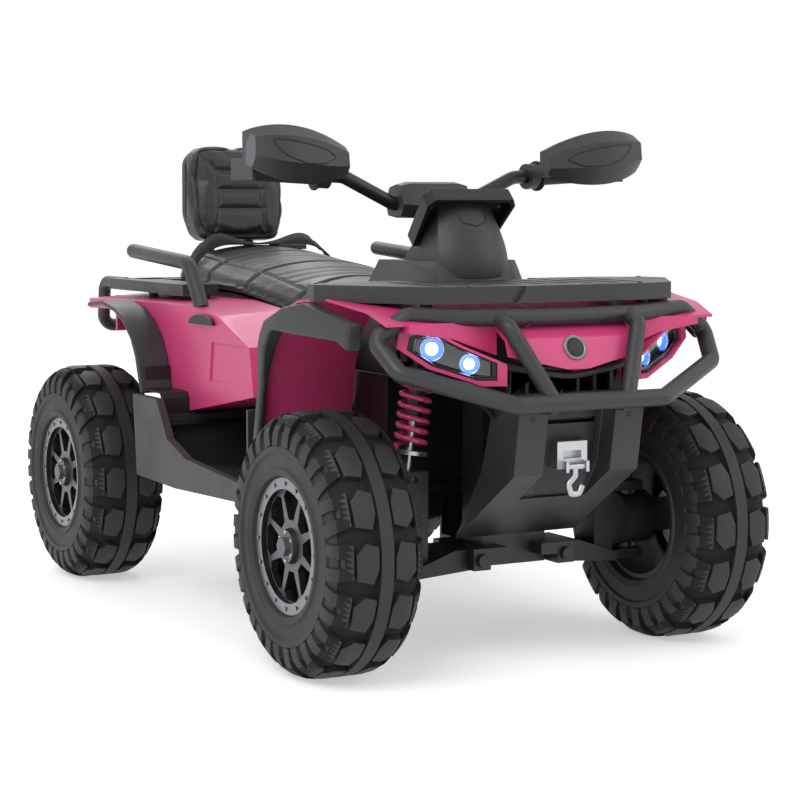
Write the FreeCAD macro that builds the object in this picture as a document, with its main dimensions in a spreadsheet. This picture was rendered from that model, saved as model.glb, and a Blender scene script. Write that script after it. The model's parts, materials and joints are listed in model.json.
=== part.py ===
import FreeCAD, Part
import math
import os
from types import SimpleNamespace

import Sketcher
from FreeCAD import Placement, Rotation, Vector

# Kids quad bike. Front faces -Y, rider's left is +X, the floor is Z = 0.
# Left pieces are modelled and the right ones are their mirror images.

SIZES = {
    # stance
    "wheelbase": 960, "front_overhang": 252, "rear_overhang": 212, "track_half": 310,
    "fit_gap": 0.05, "part_gap": 0.3, "overrun": 40, "wall": 4,
    # tyres and rims
    "tyre_radius": 197, "tyre_width": 145, "tyre_wall": 9, "carcass_drop": 9, "rib_half": 10, "rim_radius": 101,
    "sidewall_radius": 150, "sidewall_step": 3, "sidewall_ring": 8, "shoulder_reach": 42, "shoulder_drop": 40,
    "block_root": 6, "hook_depth": 50, "rim_wall": 7, "rim_inset": 9, "dish_depth": 9, "disc_thick": 20,
    "bead_ring_width": 17, "bead_bolt": 3, "bead_bolt_height": 2, "hub_radius": 27, "cap_radius": 15,
    "cap_height": 8, "window_inner": 38, "window_outer": 82, "window_half_in": 8, "window_half_out": 25,
    "axle_radius": 6, "axle_end_inset": 30,
    # front suspension
    "kingpin_x": 225, "arm_pivot_x": 75, "arm_pivot_z": 160, "arm_boss": 15, "arm_width": 84,
    "arm_fork_x": 184, "ear_width": 56, "ear_thick": 14, "ear_reach": 18, "upright_thick": 34,
    "bolt_radius": 6, "lug_thick": 18, "lug_gap": 2, "bolt_head": 8, "housing_radius": 42, "housing_in": 20,
    "housing_out": 37, "barrel_radius": 17, "barrel_half": 47, "trunnion_radius": 8, "steer_arm_length": 66,
    "steer_arm_thick": 10, "steer_arm_width": 20, "steer_arm_in": 10, "steer_plane_z": 262,
    "rod_radius": 5, "rod_eye_radius": 10, "rod_eye_thick": 11, "pitman_half": 30, "pitman_rise": 9,
    "bolt_plate_z": 244,
    # shocks and springs
    "shock_top_x": 148, "shock_top_z": 470, "shock_low_x": 172, "shock_low_z": 285, "shock_bar": 5,
    "shock_eye": 12, "shock_eye_thick": 18, "damper_radius": 13, "damper_length": 92, "rod_bore": 6.8,
    "shock_rod_radius": 6, "seat_radius": 28, "seat_thick": 6, "seat_top_drop": 26, "seat_low_rise": 42,
    "coil_radius": 22, "wire_radius": 4, "shock_coils": 7, "shock_rod_overlap": 28, "bar_reach": 8,
    "rear_coil_radius": 20, "rear_coils": 7, "rear_spring_x": 84, "rear_spring_y": 70,
    # front subframe
    "tower_half": 56, "tower_depth": 60, "tower_low_z": 145, "tower_neck_z": 448, "tower_head_z": 458,
    "tower_top_z": 490, "tower_wing": 166, "beam_top_z": 178, "lug_wide": 30, "slot_half": 30,
    "slot_low_z": 222, "slot_top_z": 345, "bearing_half": 22, "bearing_z": 350, "bearing_height": 40,
    # steering
    "column_radius": 9, "clamp_y": 235, "clamp_z": 700, "column_foot_y": 5, "pitman_thick": 8,
    "bar_radius": 11, "bar_mid_z": 694, "bar_root_x": 64, "bar_rise_x": 158, "bar_rise_z": 738,
    "bar_end_x": 336, "bar_end_z": 748, "bar_sweep": 12, "bar_bend": 34, "grip_radius": 16,
    "grip_in_x": 204, "grip_length": 112, "flange_radius": 25, "flange_thick": 5,
    "cover_half": 62, "cover_front": 34, "cover_rear": 36, "cover_low_z": 672, "cover_height": 58,
    "guard_in_x": 184, "guard_out_x": 352, "guard_wall": 5, "guard_front": 108, "guard_low_z": 726,
    "guard_height": 88, "guard_depth": 62, "collar_radius": 21,
    # chassis tub and rear axle
    "tub_half": 150, "tub_wall": 5, "tub_front": 100, "tub_rear": 275, "tub_low_z": 205, "tub_step_z": 405,
    "tub_top_z": 432, "deck_rear": 112, "pivot_ahead": 230, "pivot_z": 228,
    "pivot_boss": 17, "pin_radius": 8, "swing_half": 104, "beam_thick": 24, "beam_high": 40,
    "axle_tube": 20, "pivot_lug": 12, "battery_length": 180, "battery_width": 150,
    "battery_height": 120,
    # front body and flares
    "fender_front": 92, "fender_length": 327, "fender_low_z": 289, "fender_height": 264, "fender_x": 312,
    "flare_thick": 26, "flare_leg": 12, "fender_taper_x": 32, "arch_in_x": 154, "hood_front": 145,
    "hood_front_z": 526, "nose_half": 112, "nose_front": 205, "nose_low_z": 457, "nose_knee": 188,
    "nose_knee_z": 502, "nose_rise": 20, "boss_radius": 16, "boss_height": 3, "boss_z": 484, "cowl_hole_half": 92,
    "tank_in_x": 116, "tank_thick": 30, "tank_front": 110, "tank_length": 145, "tank_low_z": 552,
    "tank_height": 58, "pink_rise": 5, "brow_x": 252, "brow_depth": 12,
    # lamps, grille and bumper
    "lamp_x": 181, "lamp_ahead": 150, "lamp_z": 478, "lamp_turn": 26, "lamp_length": 130, "lamp_height": 70,
    "lamp_depth": 44, "lens_depth": 5, "lens_set": 6, "ring_depth": 34, "grille_half": 103,
    "grille_low_z": 416, "grille_height": 44, "grille_depth": 12, "grille_ahead": 182, "grille_bar": 6,
    "tube_radius": 13, "bumper_bend": 30, "lower_bar_z": 413, "lower_bar_half": 128, "upright_low_half": 63,
    "upright_top_half": 112, "upright_top_z": 520, "upright_top_ahead": 194, "top_bar_ahead": 163,
    "top_bar_z": 532, "corner_top_x": 240, "corner_top_ahead": 126, "corner_top_z": 536, "corner_mid_x": 290,
    "corner_mid_ahead": 116, "corner_mid_z": 503, "corner_low_x": 273, "corner_low_ahead": 161,
    "corner_low_z": 457, "stay_radius": 9,
    # skid plate and winch
    "skid_half": 108, "skid_wall": 6, "skid_top_z": 412, "skid_front": 216, "skid_rear": 140,
    "skid_toe": 35, "skid_low_z": 192, "skid_knee_z": 305, "skid_knee": 202, "recess_half": 58,
    "recess_low_z": 262, "recess_depth": 34, "skid_slot": 8, "fairlead_half": 26, "fairlead_height": 40,
    "fairlead_z": 310, "fairlead_thick": 8, "hook_wire": 5, "hook_radius": 13, "hook_drop": 14, "hook_pin": 4,
    # racks, handles and rear bumper
    "rack_z": 568, "rack_thick": 9, "rack_front": 154, "rack_rear": 103, "rack_half": 316, "rack_rim": 7,
    "rack_front_half": 215, "rack_rear_half": 222, "rack_skirt_z": 552, "lip_half": 58, "lip_low_half": 78,
    "lip_thick": 7, "rack_slot_width": 16, "rack_slot_pitch": 44, "rack_slot_length": 150, "rack_slots": 9,
    "leg_radius": 9, "leg_x": 190, "leg_ahead": 92, "leg_behind": 40, "rear_rack_z": 532, "rear_rack_thick": 20,
    "rear_rack_half": 236, "rear_rack_in": 168, "rear_rack_front": 262, "rear_rack_rear": 92,
    "rear_rack_cross": 18, "handle_x": 254, "handle_radius": 13, "handle_foot": 388, "handle_knee": 334,
    "handle_tip": 76, "handle_knee_z": 592, "handle_tip_z": 608, "handle_bend": 40,
    "tail_x": 210, "tail_low_z": 456, "tail_root": 86, "tail_radius": 12, "tail_bend": 22,
    # rear body, flares and footwells
    "panel_in_x": 150, "panel_x": 272, "panel_front": 665, "panel_length": 775, "panel_low_z": 338,
    "panel_height": 190, "panel_bevel": 8, "panel_relief": 3, "rear_flare_x": 332,
    "rear_flare_front": 300, "rear_flare_length": 262, "rear_flare_low_z": 366, "rear_flare_height": 154,
    "foot_front": 728, "foot_rear": 375, "foot_floor_z": 238, "foot_wall": 6, "foot_front_z": 374,
    "foot_rear_z": 364, "foot_wall_z": 336, "sill_x": 340, "sill_in_x": 326, "sill_low_z": 220,
    "plug_y": 435, "plug_z": 492, "plug_radius": 34, "plug_height": 8,
    # seat, backrest and belt
    "seat_front": 690, "seat_half": 158, "seat_base_half": 148, "seat_crown_z": 612, "channel_radius": 3.5,
    "back_y": 4, "back_low_z": 622, "back_height": 188, "back_half": 101, "back_thick": 52,
    "back_corner": 34, "back_round": 15, "back_lean": 4, "shell_thick": 16, "post_x": 42, "post_radius": 10,
    "belt_y": 92, "belt_width": 38, "belt_thick": 2, "buckle_x": 52, "buckle_length": 58,
    "buckle_height": 9,
    # dash, pedal and button
    "cowl_low_z": 556, "collar_height": 50, "bulge_low_z": 580, "bulge_height": 128, "cowl_half": 112,
    "cowl_front": 66, "cowl_length": 182, "panel_tilt": 45, "dash_half": 80, "dash_length": 104,
    "dash_thick": 10, "dash_rim": 7, "dash_skirt": 15, "dash_y": 134, "dash_z": 675,
    "dash_recess": 5, "column_hole": 26,
    "button_radius": 9, "button_height": 7, "button_x": 34, "pedal_x": 238, "pedal_half": 32, "pedal_y": 585,
    "pedal_length": 96, "pedal_thick": 9, "pedal_rise": 34, "pedal_bar": 4, "pedal_ear": 7,
}


class Size:
    """A length that knows both its value and the sheet expression that gives it."""

    def __init__(self, value, text):
        self.value = float(value)
        self.text = text

    def __add__(self, other):
        other = size(other)
        return Size(self.value + other.value, f"({self.text} + {other.text})")

    def __sub__(self, other):
        other = size(other)
        return Size(self.value - other.value, f"({self.text} - {other.text})")

    def __mul__(self, share):
        return Size(self.value * float(share), f"({self.text} * {float(share)!r})")

    def __neg__(self):
        return Size(-self.value, f"(0 - {self.text})")

    def __float__(self):
        return self.value

    __radd__ = __add__
    __rmul__ = __mul__


def size(value):
    return value if isinstance(value, Size) else Size(value, repr(float(value)))


doc = FreeCAD.newDocument("quad_bike")
sheet = doc.addObject("Spreadsheet::Sheet", "Sizes")
for row, (alias, number) in enumerate(SIZES.items(), start=1):
    sheet.set(f"A{row}", alias)
    sheet.set(f"B{row}", str(number))
    sheet.setAlias(f"B{row}", alias)
doc.recompute()
d = SimpleNamespace(**{alias: Size(number, f"Sizes.{alias}") for alias, number in SIZES.items()})

zero = size(0)
half_length = (d.front_overhang + d.wheelbase + d.rear_overhang) * 0.5
front_y = d.front_overhang - half_length
rear_y = front_y + d.wheelbase
axle_z = d.tyre_radius
nodes = {}


# Sketches, features and other helpers

def bind(thing, name, value):
    thing.setExpression(name, size(value).text)


def place(thing, x, y, z):
    for axis, value in zip("xyz", (x, y, z)):
        bind(thing, f"Placement.Base.{axis}", value)
    return thing


def keep(label, thing):
    thing.Label = label
    nodes[label] = thing
    return thing


def origin_plane(body, role):
    return [item for item in body.Origin.OriginFeatures if item.Role == role][0]


origin_axis = origin_plane


def new_body(name):
    return doc.addObject("PartDesign::Body", name)


def sketch(body, role, points, offset=zero):
    """A closed outline whose corners are bound to the sheet."""
    flat = body.newObject("Sketcher::SketchObject", "Outline")
    flat.AttachmentSupport = (origin_plane(body, role), [""])
    flat.MapMode = "FlatFace"
    flat.setExpression("AttachmentOffset.Base.z", offset.text)
    points = [(size(a), size(b)) for a, b in points]
    spots = [Vector(float(a), float(b), 0) for a, b in points]
    for spot, after in zip(spots, spots[1:] + spots[:1]):
        flat.addGeometry(Part.LineSegment(spot, after), False)
    count = len(points)
    for index in range(count):
        flat.addConstraint(Sketcher.Constraint("Coincident", index, 2, (index + 1) % count, 1))
    for index, corner in enumerate(points):
        for kind, axis, value in (("DistanceX", -2, corner[0]), ("DistanceY", -1, corner[1])):
            if abs(float(value)) < 1e-9:
                flat.addConstraint(Sketcher.Constraint("PointOnObject", index, 1, axis))
                continue
            number = flat.addConstraint(Sketcher.Constraint(kind, -1, 1, index, 1, float(value)))
            flat.setExpression(f"Constraints[{number}]", value.text)
    return flat


def feature(body, kind, profile, length, middle=False, back=False):
    made = body.newObject(f"PartDesign::{kind}", kind)
    made.Profile = profile
    made.Midplane = middle
    made.Reversed = back
    bind(made, "Length", length)
    doc.recompute()
    return made


def pad(body, role, points, length, offset=zero, middle=False, back=False):
    return feature(body, "Pad", sketch(body, role, points, offset), length, middle, back)


def pocket(body, role, points, length, offset=zero, middle=False, back=False):
    before = body.Shape.Volume
    made = feature(body, "Pocket", sketch(body, role, points, offset), length, middle, back)
    if body.Shape.Volume > before - 1:
        raise RuntimeError(f"{body.Name}: a pocket cut nothing")
    return made


def loft(body, role, outlines, kind="AdditiveLoft", ruled=True):
    """A loft through outlines given as (points, offset)."""
    flats = [sketch(body, role, points, offset) for points, offset in outlines]
    made = body.newObject(f"PartDesign::{kind}", kind)
    made.Profile = flats[0]
    made.Sections = flats[1:]
    made.Ruled = ruled
    doc.recompute()
    return made


def soften(body, amount, test):
    """Fillet the edges whose middle and direction pass the test."""
    base = body.Tip
    names = []
    for number, edge in enumerate(body.Shape.Edges, start=1):
        middle = edge.valueAt((edge.FirstParameter + edge.LastParameter) / 2)
        along = edge.tangentAt((edge.FirstParameter + edge.LastParameter) / 2)
        if test(middle, along):
            names.append(f"Edge{number}")
    made = body.newObject("PartDesign::Fillet", "Fillet")
    made.Base = (base, names)
    bind(made, "Radius", amount)
    doc.recompute()
    return made


def rectangle(low_a, high_a, low_b, high_b):
    return [(low_a, low_b), (high_a, low_b), (high_a, high_b), (low_a, high_b)]


def scaled(shares, start_a, length_a, start_b, length_b):
    return [(start_a + length_a * a, start_b + length_b * b) for a, b in shares]


def primitive(kind, **sizes):
    made = doc.addObject(f"Part::{kind}", kind)
    for name, value in sizes.items():
        bind(made, name, value)
    return made


TURNS = {"X": Rotation(Vector(0, 1, 0), 90), "Y": Rotation(Vector(1, 0, 0), -90), "Z": Rotation()}


def rod(axis, radius, length, x, y, z):
    """A cylinder that starts at a point and runs along +X, +Y or +Z."""
    made = primitive("Cylinder", Radius=radius, Height=length)
    made.Placement = Placement(Vector(), TURNS[axis])
    return place(made, x, y, z)


def block(x_low, x_high, y_low, y_high, z_low, z_high):
    made = primitive("Box", Length=x_high - x_low, Width=y_high - y_low, Height=z_high - z_low)
    return place(made, x_low, y_low, z_low)


def fuse(name, parts):
    made = doc.addObject("Part::MultiFuse", name)
    made.Shapes = parts
    made.Refine = True
    return made


def cut(name, base, tool):
    made = doc.addObject("Part::Cut", name)
    made.Base = base
    made.Tool = tool
    return made


def common(name, base, tool):
    made = doc.addObject("Part::Common", name)
    made.Base = base
    made.Tool = tool
    return made


def mirrored(label, source):
    made = doc.addObject("Part::Mirroring", label)
    made.Source = source
    made.Normal = Vector(1, 0, 0)
    return keep(label, made)


def shaped(name, shape):
    made = doc.addObject("Part::Feature", name)
    made.Shape = shape
    return made


def point(x, y, z):
    return Vector(float(x), float(y), float(z))


def arc_edge(start, corner, end):
    """The arc that leaves start towards corner and reaches end from corner."""
    middle = (start + end) * 0.5
    turn = math.pi - (start - corner).getAngle(end - corner)
    sag = (end - start).Length * 0.5 * math.tan(turn / 4)
    return Part.Arc(start, middle + (corner - middle).normalize() * sag, end).toShape()


def tube(points, radius, bend):
    """A round bar along straight runs joined by arcs."""
    edges = []
    last = points[0]
    for before, corner, after in zip(points, points[1:], points[2:]):
        to_before = (before - corner).normalize()
        to_after = (after - corner).normalize()
        turn = math.pi - to_before.getAngle(to_after)
        reach = float(bend) * math.tan(turn / 2)
        start = corner + to_before * reach
        end = corner + to_after * reach
        edges.append(Part.makeLine(last, start))
        edges.append(arc_edge(start, corner, end))
        last = end
    edges.append(Part.makeLine(last, points[-1]))
    spine = Part.Wire(edges)
    ring = Part.Wire(Part.makeCircle(float(radius), points[0], (points[1] - points[0]).normalize()))
    return spine.makePipeShell([ring], True, False)


def coil(radius, wire, height, turns):
    """A helical spring on +Z as one tube on quarter-turn biarcs, and its least gap to itself."""
    steps = int(round(turns * 4))
    rise = height / steps
    spots = []
    ways = []
    for step in range(steps + 1):
        angle = math.pi / 2 * step
        spots.append(Vector(radius * math.cos(angle), radius * math.sin(angle), rise * step))
        slope = rise / (math.pi / 2)
        ways.append(Vector(-radius * math.sin(angle), radius * math.cos(angle), slope).normalize())
    edges = []
    for start, way, end, out in zip(spots, ways, spots[1:], ways[1:]):
        chord = end - start
        both = way + out
        lead = both.dot(both) - 4
        if abs(lead) < 1e-9:
            reach = chord.Length / 4
        else:
            root = math.sqrt(chord.dot(both) ** 2 - lead * chord.dot(chord))
            reach = (chord.dot(both) - root) / lead
        first = start + way * reach
        second = end - out * reach
        joint = (first + second) * 0.5
        edges.append(arc_edge(start, first, joint))
        edges.append(arc_edge(joint, second, end))
    ring = Part.Wire(Part.makeCircle(wire, spots[0], ways[0]))
    solid = Part.Wire(edges).makePipeShell([ring], True, False)
    print(f"coil least gap to itself {height / turns - 2 * wire:.2f} mm")
    return solid


# Wheels: one tyre and one rim, placed at the four corners

lug_pitches = 16
bead_bolts = 16
shoulder_steps = 6
bead_share = 0.84
block_shares = ((0.19, -0.10), (0.30, -0.37), (0.63, -0.30), (0.65, 0.18), (0.46, 0.38), (0.19, 0.30))
hook_shares = ((0.70, 0.36), (1.0, 0.33), (1.0, 0.11), (0.85, 0.08), (0.85, -0.07), (1.0, -0.10), (1.0, -0.34),
               (0.70, -0.27))


def revolved(body, outline):
    ring = body.newObject("PartDesign::Revolution", "Ring")
    ring.Profile = sketch(body, "XY_Plane", outline)
    ring.ReferenceAxis = (ring.Profile[0], ["H_Axis"])
    doc.recompute()
    return ring


def round_pattern(body, originals, count):
    made = body.newObject("PartDesign::PolarPattern", "Round")
    made.Originals = originals
    made.Axis = (origin_axis(body, "X_Axis"), [""])
    made.Angle = 360
    made.Occurrences = count
    body.Tip = made
    doc.recompute()
    return made


def both_sides(half):
    return half + [(-a, b) for a, b in reversed(half)]


def shoulder(half_width, crown):
    """The round shoulder as points on a quarter of an ellipse."""
    spots = []
    for step in range(shoulder_steps + 1):
        angle = math.pi / 2 * step / shoulder_steps
        spots.append((half_width - d.shoulder_reach * (1 - math.sin(angle)),
                      crown - d.shoulder_drop * (1 - math.cos(angle))))
    return spots


def make_tyre(name, axle_y):
    """A hollow carcass with a centre rib, and tread blocks kept within a round envelope."""
    body = new_body(name)
    edge = d.tyre_width * 0.5
    crown = d.tyre_radius - d.carcass_drop
    side = edge - d.sidewall_step
    bead = edge * bead_share
    outside = [(d.rib_half, d.tyre_radius), (d.rib_half, crown)] + shoulder(side, crown)[1:]
    ring_top = d.sidewall_radius - d.sidewall_step
    ring_low = d.rim_radius + d.sidewall_ring * 2
    outside += [(edge, ring_top), (edge, ring_top - d.sidewall_ring), (side, ring_top - d.sidewall_ring * 1.4),
                (side, ring_low), (edge, ring_low - d.sidewall_step), (side, d.rim_radius + d.sidewall_step),
                (bead, d.rim_radius)]
    inner_edge = edge - d.tyre_wall
    inside = [(bead - d.tyre_wall, d.rim_radius), (inner_edge, ring_low), (inner_edge, d.sidewall_radius),
              (inner_edge * 0.9, crown - d.tyre_wall * 2.2), (d.rib_half, crown - d.tyre_wall)]
    revolved(body, both_sides(outside + inside))
    pitch = d.tyre_radius * (2 * math.pi / lug_pitches)
    lugs = []
    for side_sign in (1, -1):
        for shares, root in ((block_shares, crown - d.block_root), (hook_shares, d.tyre_radius - d.hook_depth)):
            outline = [(edge * (a * side_sign), pitch * (b * side_sign)) for a, b in shares]
            lugs.append(pad(body, "XY_Plane", outline, d.tyre_radius - root, root))
    round_pattern(body, lugs, lug_pitches)
    envelope = new_body("Envelope")
    revolved(envelope, both_sides(shoulder(edge, d.tyre_radius) + [(edge, d.rim_radius - d.fit_gap)]))
    for piece in (body, envelope):
        place(piece, d.track_half, axle_y, axle_z)
    return common("TyreWhole", body, envelope)


def make_rim(name):
    body = new_body(name)
    edge = d.tyre_width * 0.5
    face = edge - d.rim_inset
    dish = face - d.dish_depth
    disc_in = face - d.disc_thick
    hub_in = -(d.kingpin_x + d.housing_out + d.part_gap - d.track_half)
    barrel = d.rim_radius - d.rim_wall
    bead = edge * bead_share
    ring_in = d.rim_radius - d.bead_ring_width
    bore = d.axle_radius + d.fit_gap
    bore_end = edge - d.axle_end_inset + d.part_gap
    seat = d.rim_radius - d.fit_gap
    outside = [(-bead, d.rim_radius), (bead, d.rim_radius), (bead, seat), (face, seat), (face, ring_in),
               (dish, ring_in), (dish, d.hub_radius), (face, d.hub_radius * 0.9), (face, zero)]
    inside = [(bore_end, zero), (bore_end, bore), (-hub_in, bore), (-hub_in, d.hub_radius),
              (disc_in, d.hub_radius), (disc_in, barrel), (-bead, barrel)]
    revolved(body, outside + inside)
    window = [(-d.window_half_in, d.window_inner), (d.window_half_in, d.window_inner),
              (d.window_half_out, d.window_outer * 0.86), (d.window_half_out * 0.6, d.window_outer),
              (-d.window_half_out * 0.6, d.window_outer), (-d.window_half_out, d.window_outer * 0.86)]
    hole = pocket(body, "YZ_Plane", window, d.disc_thick * 2, face + d.overrun * 0.1)
    round_pattern(body, [hole], 8)
    pad(body, "YZ_Plane", hexagon(d.cap_radius, zero), d.cap_height, face)
    bolt_outline = hexagon(d.bead_bolt, d.rim_radius - d.bead_ring_width * 0.5)
    bolt = pad(body, "YZ_Plane", bolt_outline, d.bead_bolt_height, face)
    round_pattern(body, [bolt], bead_bolts)
    return body


def hexagon(radius, rise):
    turns = [math.pi / 3 * k for k in range(6)]
    return [(radius * math.cos(turn), rise + radius * math.sin(turn)) for turn in turns]


for corner, axle_y in (("front", front_y), ("rear", rear_y)):
    tyre = keep(f"tyre_{corner}_left", make_tyre("Tyre", axle_y))
    mirrored(f"tyre_{corner}_right", tyre)
    rim = keep(f"rim_{corner}_left", make_rim("Rim"))
    place(rim, d.track_half, axle_y, axle_z)
    mirrored(f"rim_{corner}_right", rim)

# Front suspension arm: a wedge with a forked outer end and a shock upright

ear_low = axle_z - d.barrel_half - d.ear_thick
ear_top = axle_z + d.barrel_half + d.ear_thick
arm = new_body("Arm")
front_face = -(front_y - d.arm_width * 0.5)
boss_x = d.arm_pivot_x
boss_in = boss_x - d.arm_boss
boss_top = d.arm_pivot_z + d.arm_boss
wedge = [(boss_in, d.arm_pivot_z - d.arm_boss), (d.arm_fork_x, ear_low), (d.arm_fork_x, axle_z - d.barrel_half),
         (boss_x + d.arm_boss * 2.4, boss_top), (boss_in, boss_top)]
pad(arm, "XZ_Plane", wedge, d.arm_width, front_face, back=True)
ear_face = -(front_y - d.ear_width * 0.5)
fork_end = d.kingpin_x + d.ear_reach
upright_in = d.arm_fork_x - d.upright_thick
upright_top = d.shock_low_z + d.shock_eye
clevis = [(upright_in, axle_z - d.barrel_half - d.ear_thick * 0.5), (upright_in, upright_top),
          (d.arm_fork_x, upright_top), (d.arm_fork_x, ear_top), (fork_end, ear_top),
          (fork_end, ear_top - d.ear_thick),
          (d.arm_fork_x, ear_top - d.ear_thick), (d.arm_fork_x, ear_low + d.ear_thick),
          (fork_end, ear_low + d.ear_thick), (fork_end, ear_low), (d.arm_fork_x - d.ear_thick * 0.5, ear_low)]
pad(arm, "XZ_Plane", clevis, d.ear_width, ear_face, back=True)
eye_slot = d.shock_eye_thick + d.lug_gap
pocket(arm, "XZ_Plane", rectangle(upright_in - d.overrun, d.arm_fork_x + d.overrun, ear_top + d.lug_gap * 3,
                                  upright_top + d.overrun), eye_slot, -(front_y - eye_slot * 0.5))
arm_bores = fuse("ArmBores", [
    rod("Y", d.bolt_radius + d.fit_gap, d.arm_width + d.overrun, boss_x,
        front_y - (d.arm_width + d.overrun) * 0.5, d.arm_pivot_z),
    rod("Z", d.trunnion_radius + d.fit_gap, ear_top - ear_low + d.overrun, d.kingpin_x, front_y,
        ear_low - d.overrun * 0.5),
    rod("Y", d.shock_bar + d.fit_gap, d.ear_width + d.overrun, d.shock_low_x,
        front_y - (d.ear_width + d.overrun) * 0.5, d.shock_low_z)])
keep("front_arm_left", cut("FrontArm", arm, arm_bores))
mirrored("front_arm_right", nodes["front_arm_left"])

# Knuckle: barrel on trunnions, gear housing, stub axle and steering arm

stub_end = d.track_half + d.tyre_width * 0.5 - d.axle_end_inset
arm_tip_x = d.kingpin_x - d.steer_arm_in
tip_y = front_y + d.steer_arm_length
lever = new_body("Lever")
half_arm = d.steer_arm_width * 0.5
lever_outline = [(d.kingpin_x - half_arm, front_y - half_arm), (d.kingpin_x + half_arm, front_y - half_arm),
                 (arm_tip_x + half_arm, tip_y + half_arm), (arm_tip_x - half_arm, tip_y + half_arm)]
pad(lever, "XY_Plane", lever_outline, d.steer_arm_thick, d.steer_plane_z)
barrel_low = axle_z - d.barrel_half + d.part_gap
keep("knuckle_left", fuse("Knuckle", [
    rod("Z", d.barrel_radius, (d.barrel_half - d.part_gap) * 2, d.kingpin_x, front_y, barrel_low),
    rod("Z", d.trunnion_radius, d.steer_plane_z - ear_low + d.steer_arm_thick, d.kingpin_x, front_y, ear_low),
    rod("X", d.housing_radius, d.housing_in + d.housing_out, d.kingpin_x - d.housing_in, front_y, axle_z),
    rod("X", d.axle_radius, stub_end - d.kingpin_x, d.kingpin_x, front_y, axle_z),
    lever]))
mirrored("knuckle_right", nodes["knuckle_left"])

# Tie rod: an eye under the steering arm and an eye under the pitman plate

rod_eye_z = d.steer_plane_z - d.part_gap - d.rod_eye_thick
keep("tie_rod_left", fuse("TieRod", [
    rod("Z", d.rod_eye_radius, d.rod_eye_thick, d.pitman_half, tip_y, rod_eye_z),
    rod("Z", d.rod_eye_radius, d.rod_eye_thick, arm_tip_x, tip_y, rod_eye_z),
    rod("X", d.rod_radius, arm_tip_x - d.pitman_half, d.pitman_half, tip_y,
        rod_eye_z + d.rod_eye_thick * 0.5)]))
mirrored("tie_rod_right", nodes["tie_rod_left"])

# Front shock: damper body on the tower, rod on the arm, coil spring between their seats

shock_top = point(d.shock_top_x, front_y, d.shock_top_z)
shock_low = point(d.shock_low_x, front_y, d.shock_low_z)
shock_length = (shock_top - shock_low).Length
shock_turn = Rotation(Vector(0, 0, 1), shock_top - shock_low)
bar_half = float(d.shock_eye_thick) / 2 + float(d.bar_reach)


def across(radius, half_width, z):
    return Part.makeCylinder(float(radius), half_width * 2, Vector(0, -half_width, z), Vector(0, 1, 0))


def stood(name, shape, rise=0):
    made = shaped(name, shape)
    made.Placement = Placement(shock_low, shock_turn).multiply(Placement(Vector(0, 0, rise), Rotation()))
    return made


def upright_rod(radius, length, z):
    return Part.makeCylinder(float(radius), float(length), Vector(0, 0, float(z)))


top_seat_z = shock_length - float(d.seat_top_drop)
low_seat_z = float(d.seat_low_rise)
damper_low = shock_length - float(d.damper_length)
damper = across(d.shock_bar, bar_half, shock_length)
damper = damper.fuse(across(d.shock_eye, float(d.shock_eye_thick) / 2, shock_length))
damper = damper.fuse(upright_rod(d.shock_bar * 1.4, d.damper_length, damper_low))
damper = damper.fuse(upright_rod(d.damper_radius, d.damper_length - d.shock_eye * 1.4, damper_low))
damper = damper.fuse(upright_rod(d.seat_radius, d.seat_thick, top_seat_z))
damper = damper.cut(upright_rod(d.rod_bore, d.damper_length - d.shock_eye * 2 - d.seat_thick, damper_low))
keep("shock_body_left", stood("ShockBody", damper.removeSplitter()))
mirrored("shock_body_right", nodes["shock_body_left"])

plunger = across(d.shock_bar, bar_half, 0)
plunger = plunger.fuse(across(d.shock_eye, float(d.shock_eye_thick) / 2, 0))
plunger = plunger.fuse(upright_rod(d.shock_rod_radius, damper_low + float(d.shock_rod_overlap), 0))
plunger = plunger.fuse(upright_rod(d.seat_radius, d.seat_thick, low_seat_z - float(d.seat_thick)))
keep("shock_rod_left", stood("ShockRod", plunger.removeSplitter()))
mirrored("shock_rod_right", nodes["shock_rod_left"])

spring_room = top_seat_z - low_seat_z
wire = float(d.wire_radius)
spring_height = spring_room - wire * 2 - float(d.part_gap) * 2
spring = coil(float(d.coil_radius), wire, spring_height, float(d.shock_coils))
keep("shock_spring_left", stood("ShockSpring", spring, low_seat_z + wire + float(d.part_gap)))
mirrored("shock_spring_right", nodes["shock_spring_left"])

# Front subframe: beam, pivot lugs, shock tower and the steering bearing

tower = new_body("Tower")
tower_front = front_y - d.tower_depth * 0.5
tower_outline = [(d.tower_half, d.tower_low_z), (d.tower_half, d.tower_neck_z), (d.tower_wing, d.tower_head_z),
                 (d.tower_wing, d.tower_top_z), (-d.tower_wing, d.tower_top_z), (-d.tower_wing, d.tower_head_z),
                 (-d.tower_half, d.tower_neck_z), (-d.tower_half, d.tower_low_z)]
pad(tower, "XZ_Plane", tower_outline, d.tower_depth, -tower_front, back=True)
pocket(tower, "XZ_Plane", rectangle(-d.slot_half, d.slot_half, d.slot_low_z, d.slot_top_z),
       d.tower_depth + d.overrun, -(tower_front - d.overrun * 0.5))
tub_front_y = front_y + d.tub_front
lug_x = d.arm_pivot_x + d.arm_boss
lug_span = d.arm_width * 0.5 + d.lug_gap
subframe_parts = [
    tower,
    block(-d.tower_half, d.tower_half, tower_front, tub_front_y, d.tower_low_z, d.beam_top_z),
    block(-lug_x, lug_x, front_y + lug_span, front_y + lug_span + d.lug_thick, d.tower_low_z, d.beam_top_z),
    block(-d.tower_half, d.tower_half, tub_front_y - d.tub_wall, tub_front_y, d.tower_low_z, d.bolt_plate_z),
]
lug_front = front_y - lug_span - d.lug_thick
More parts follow.
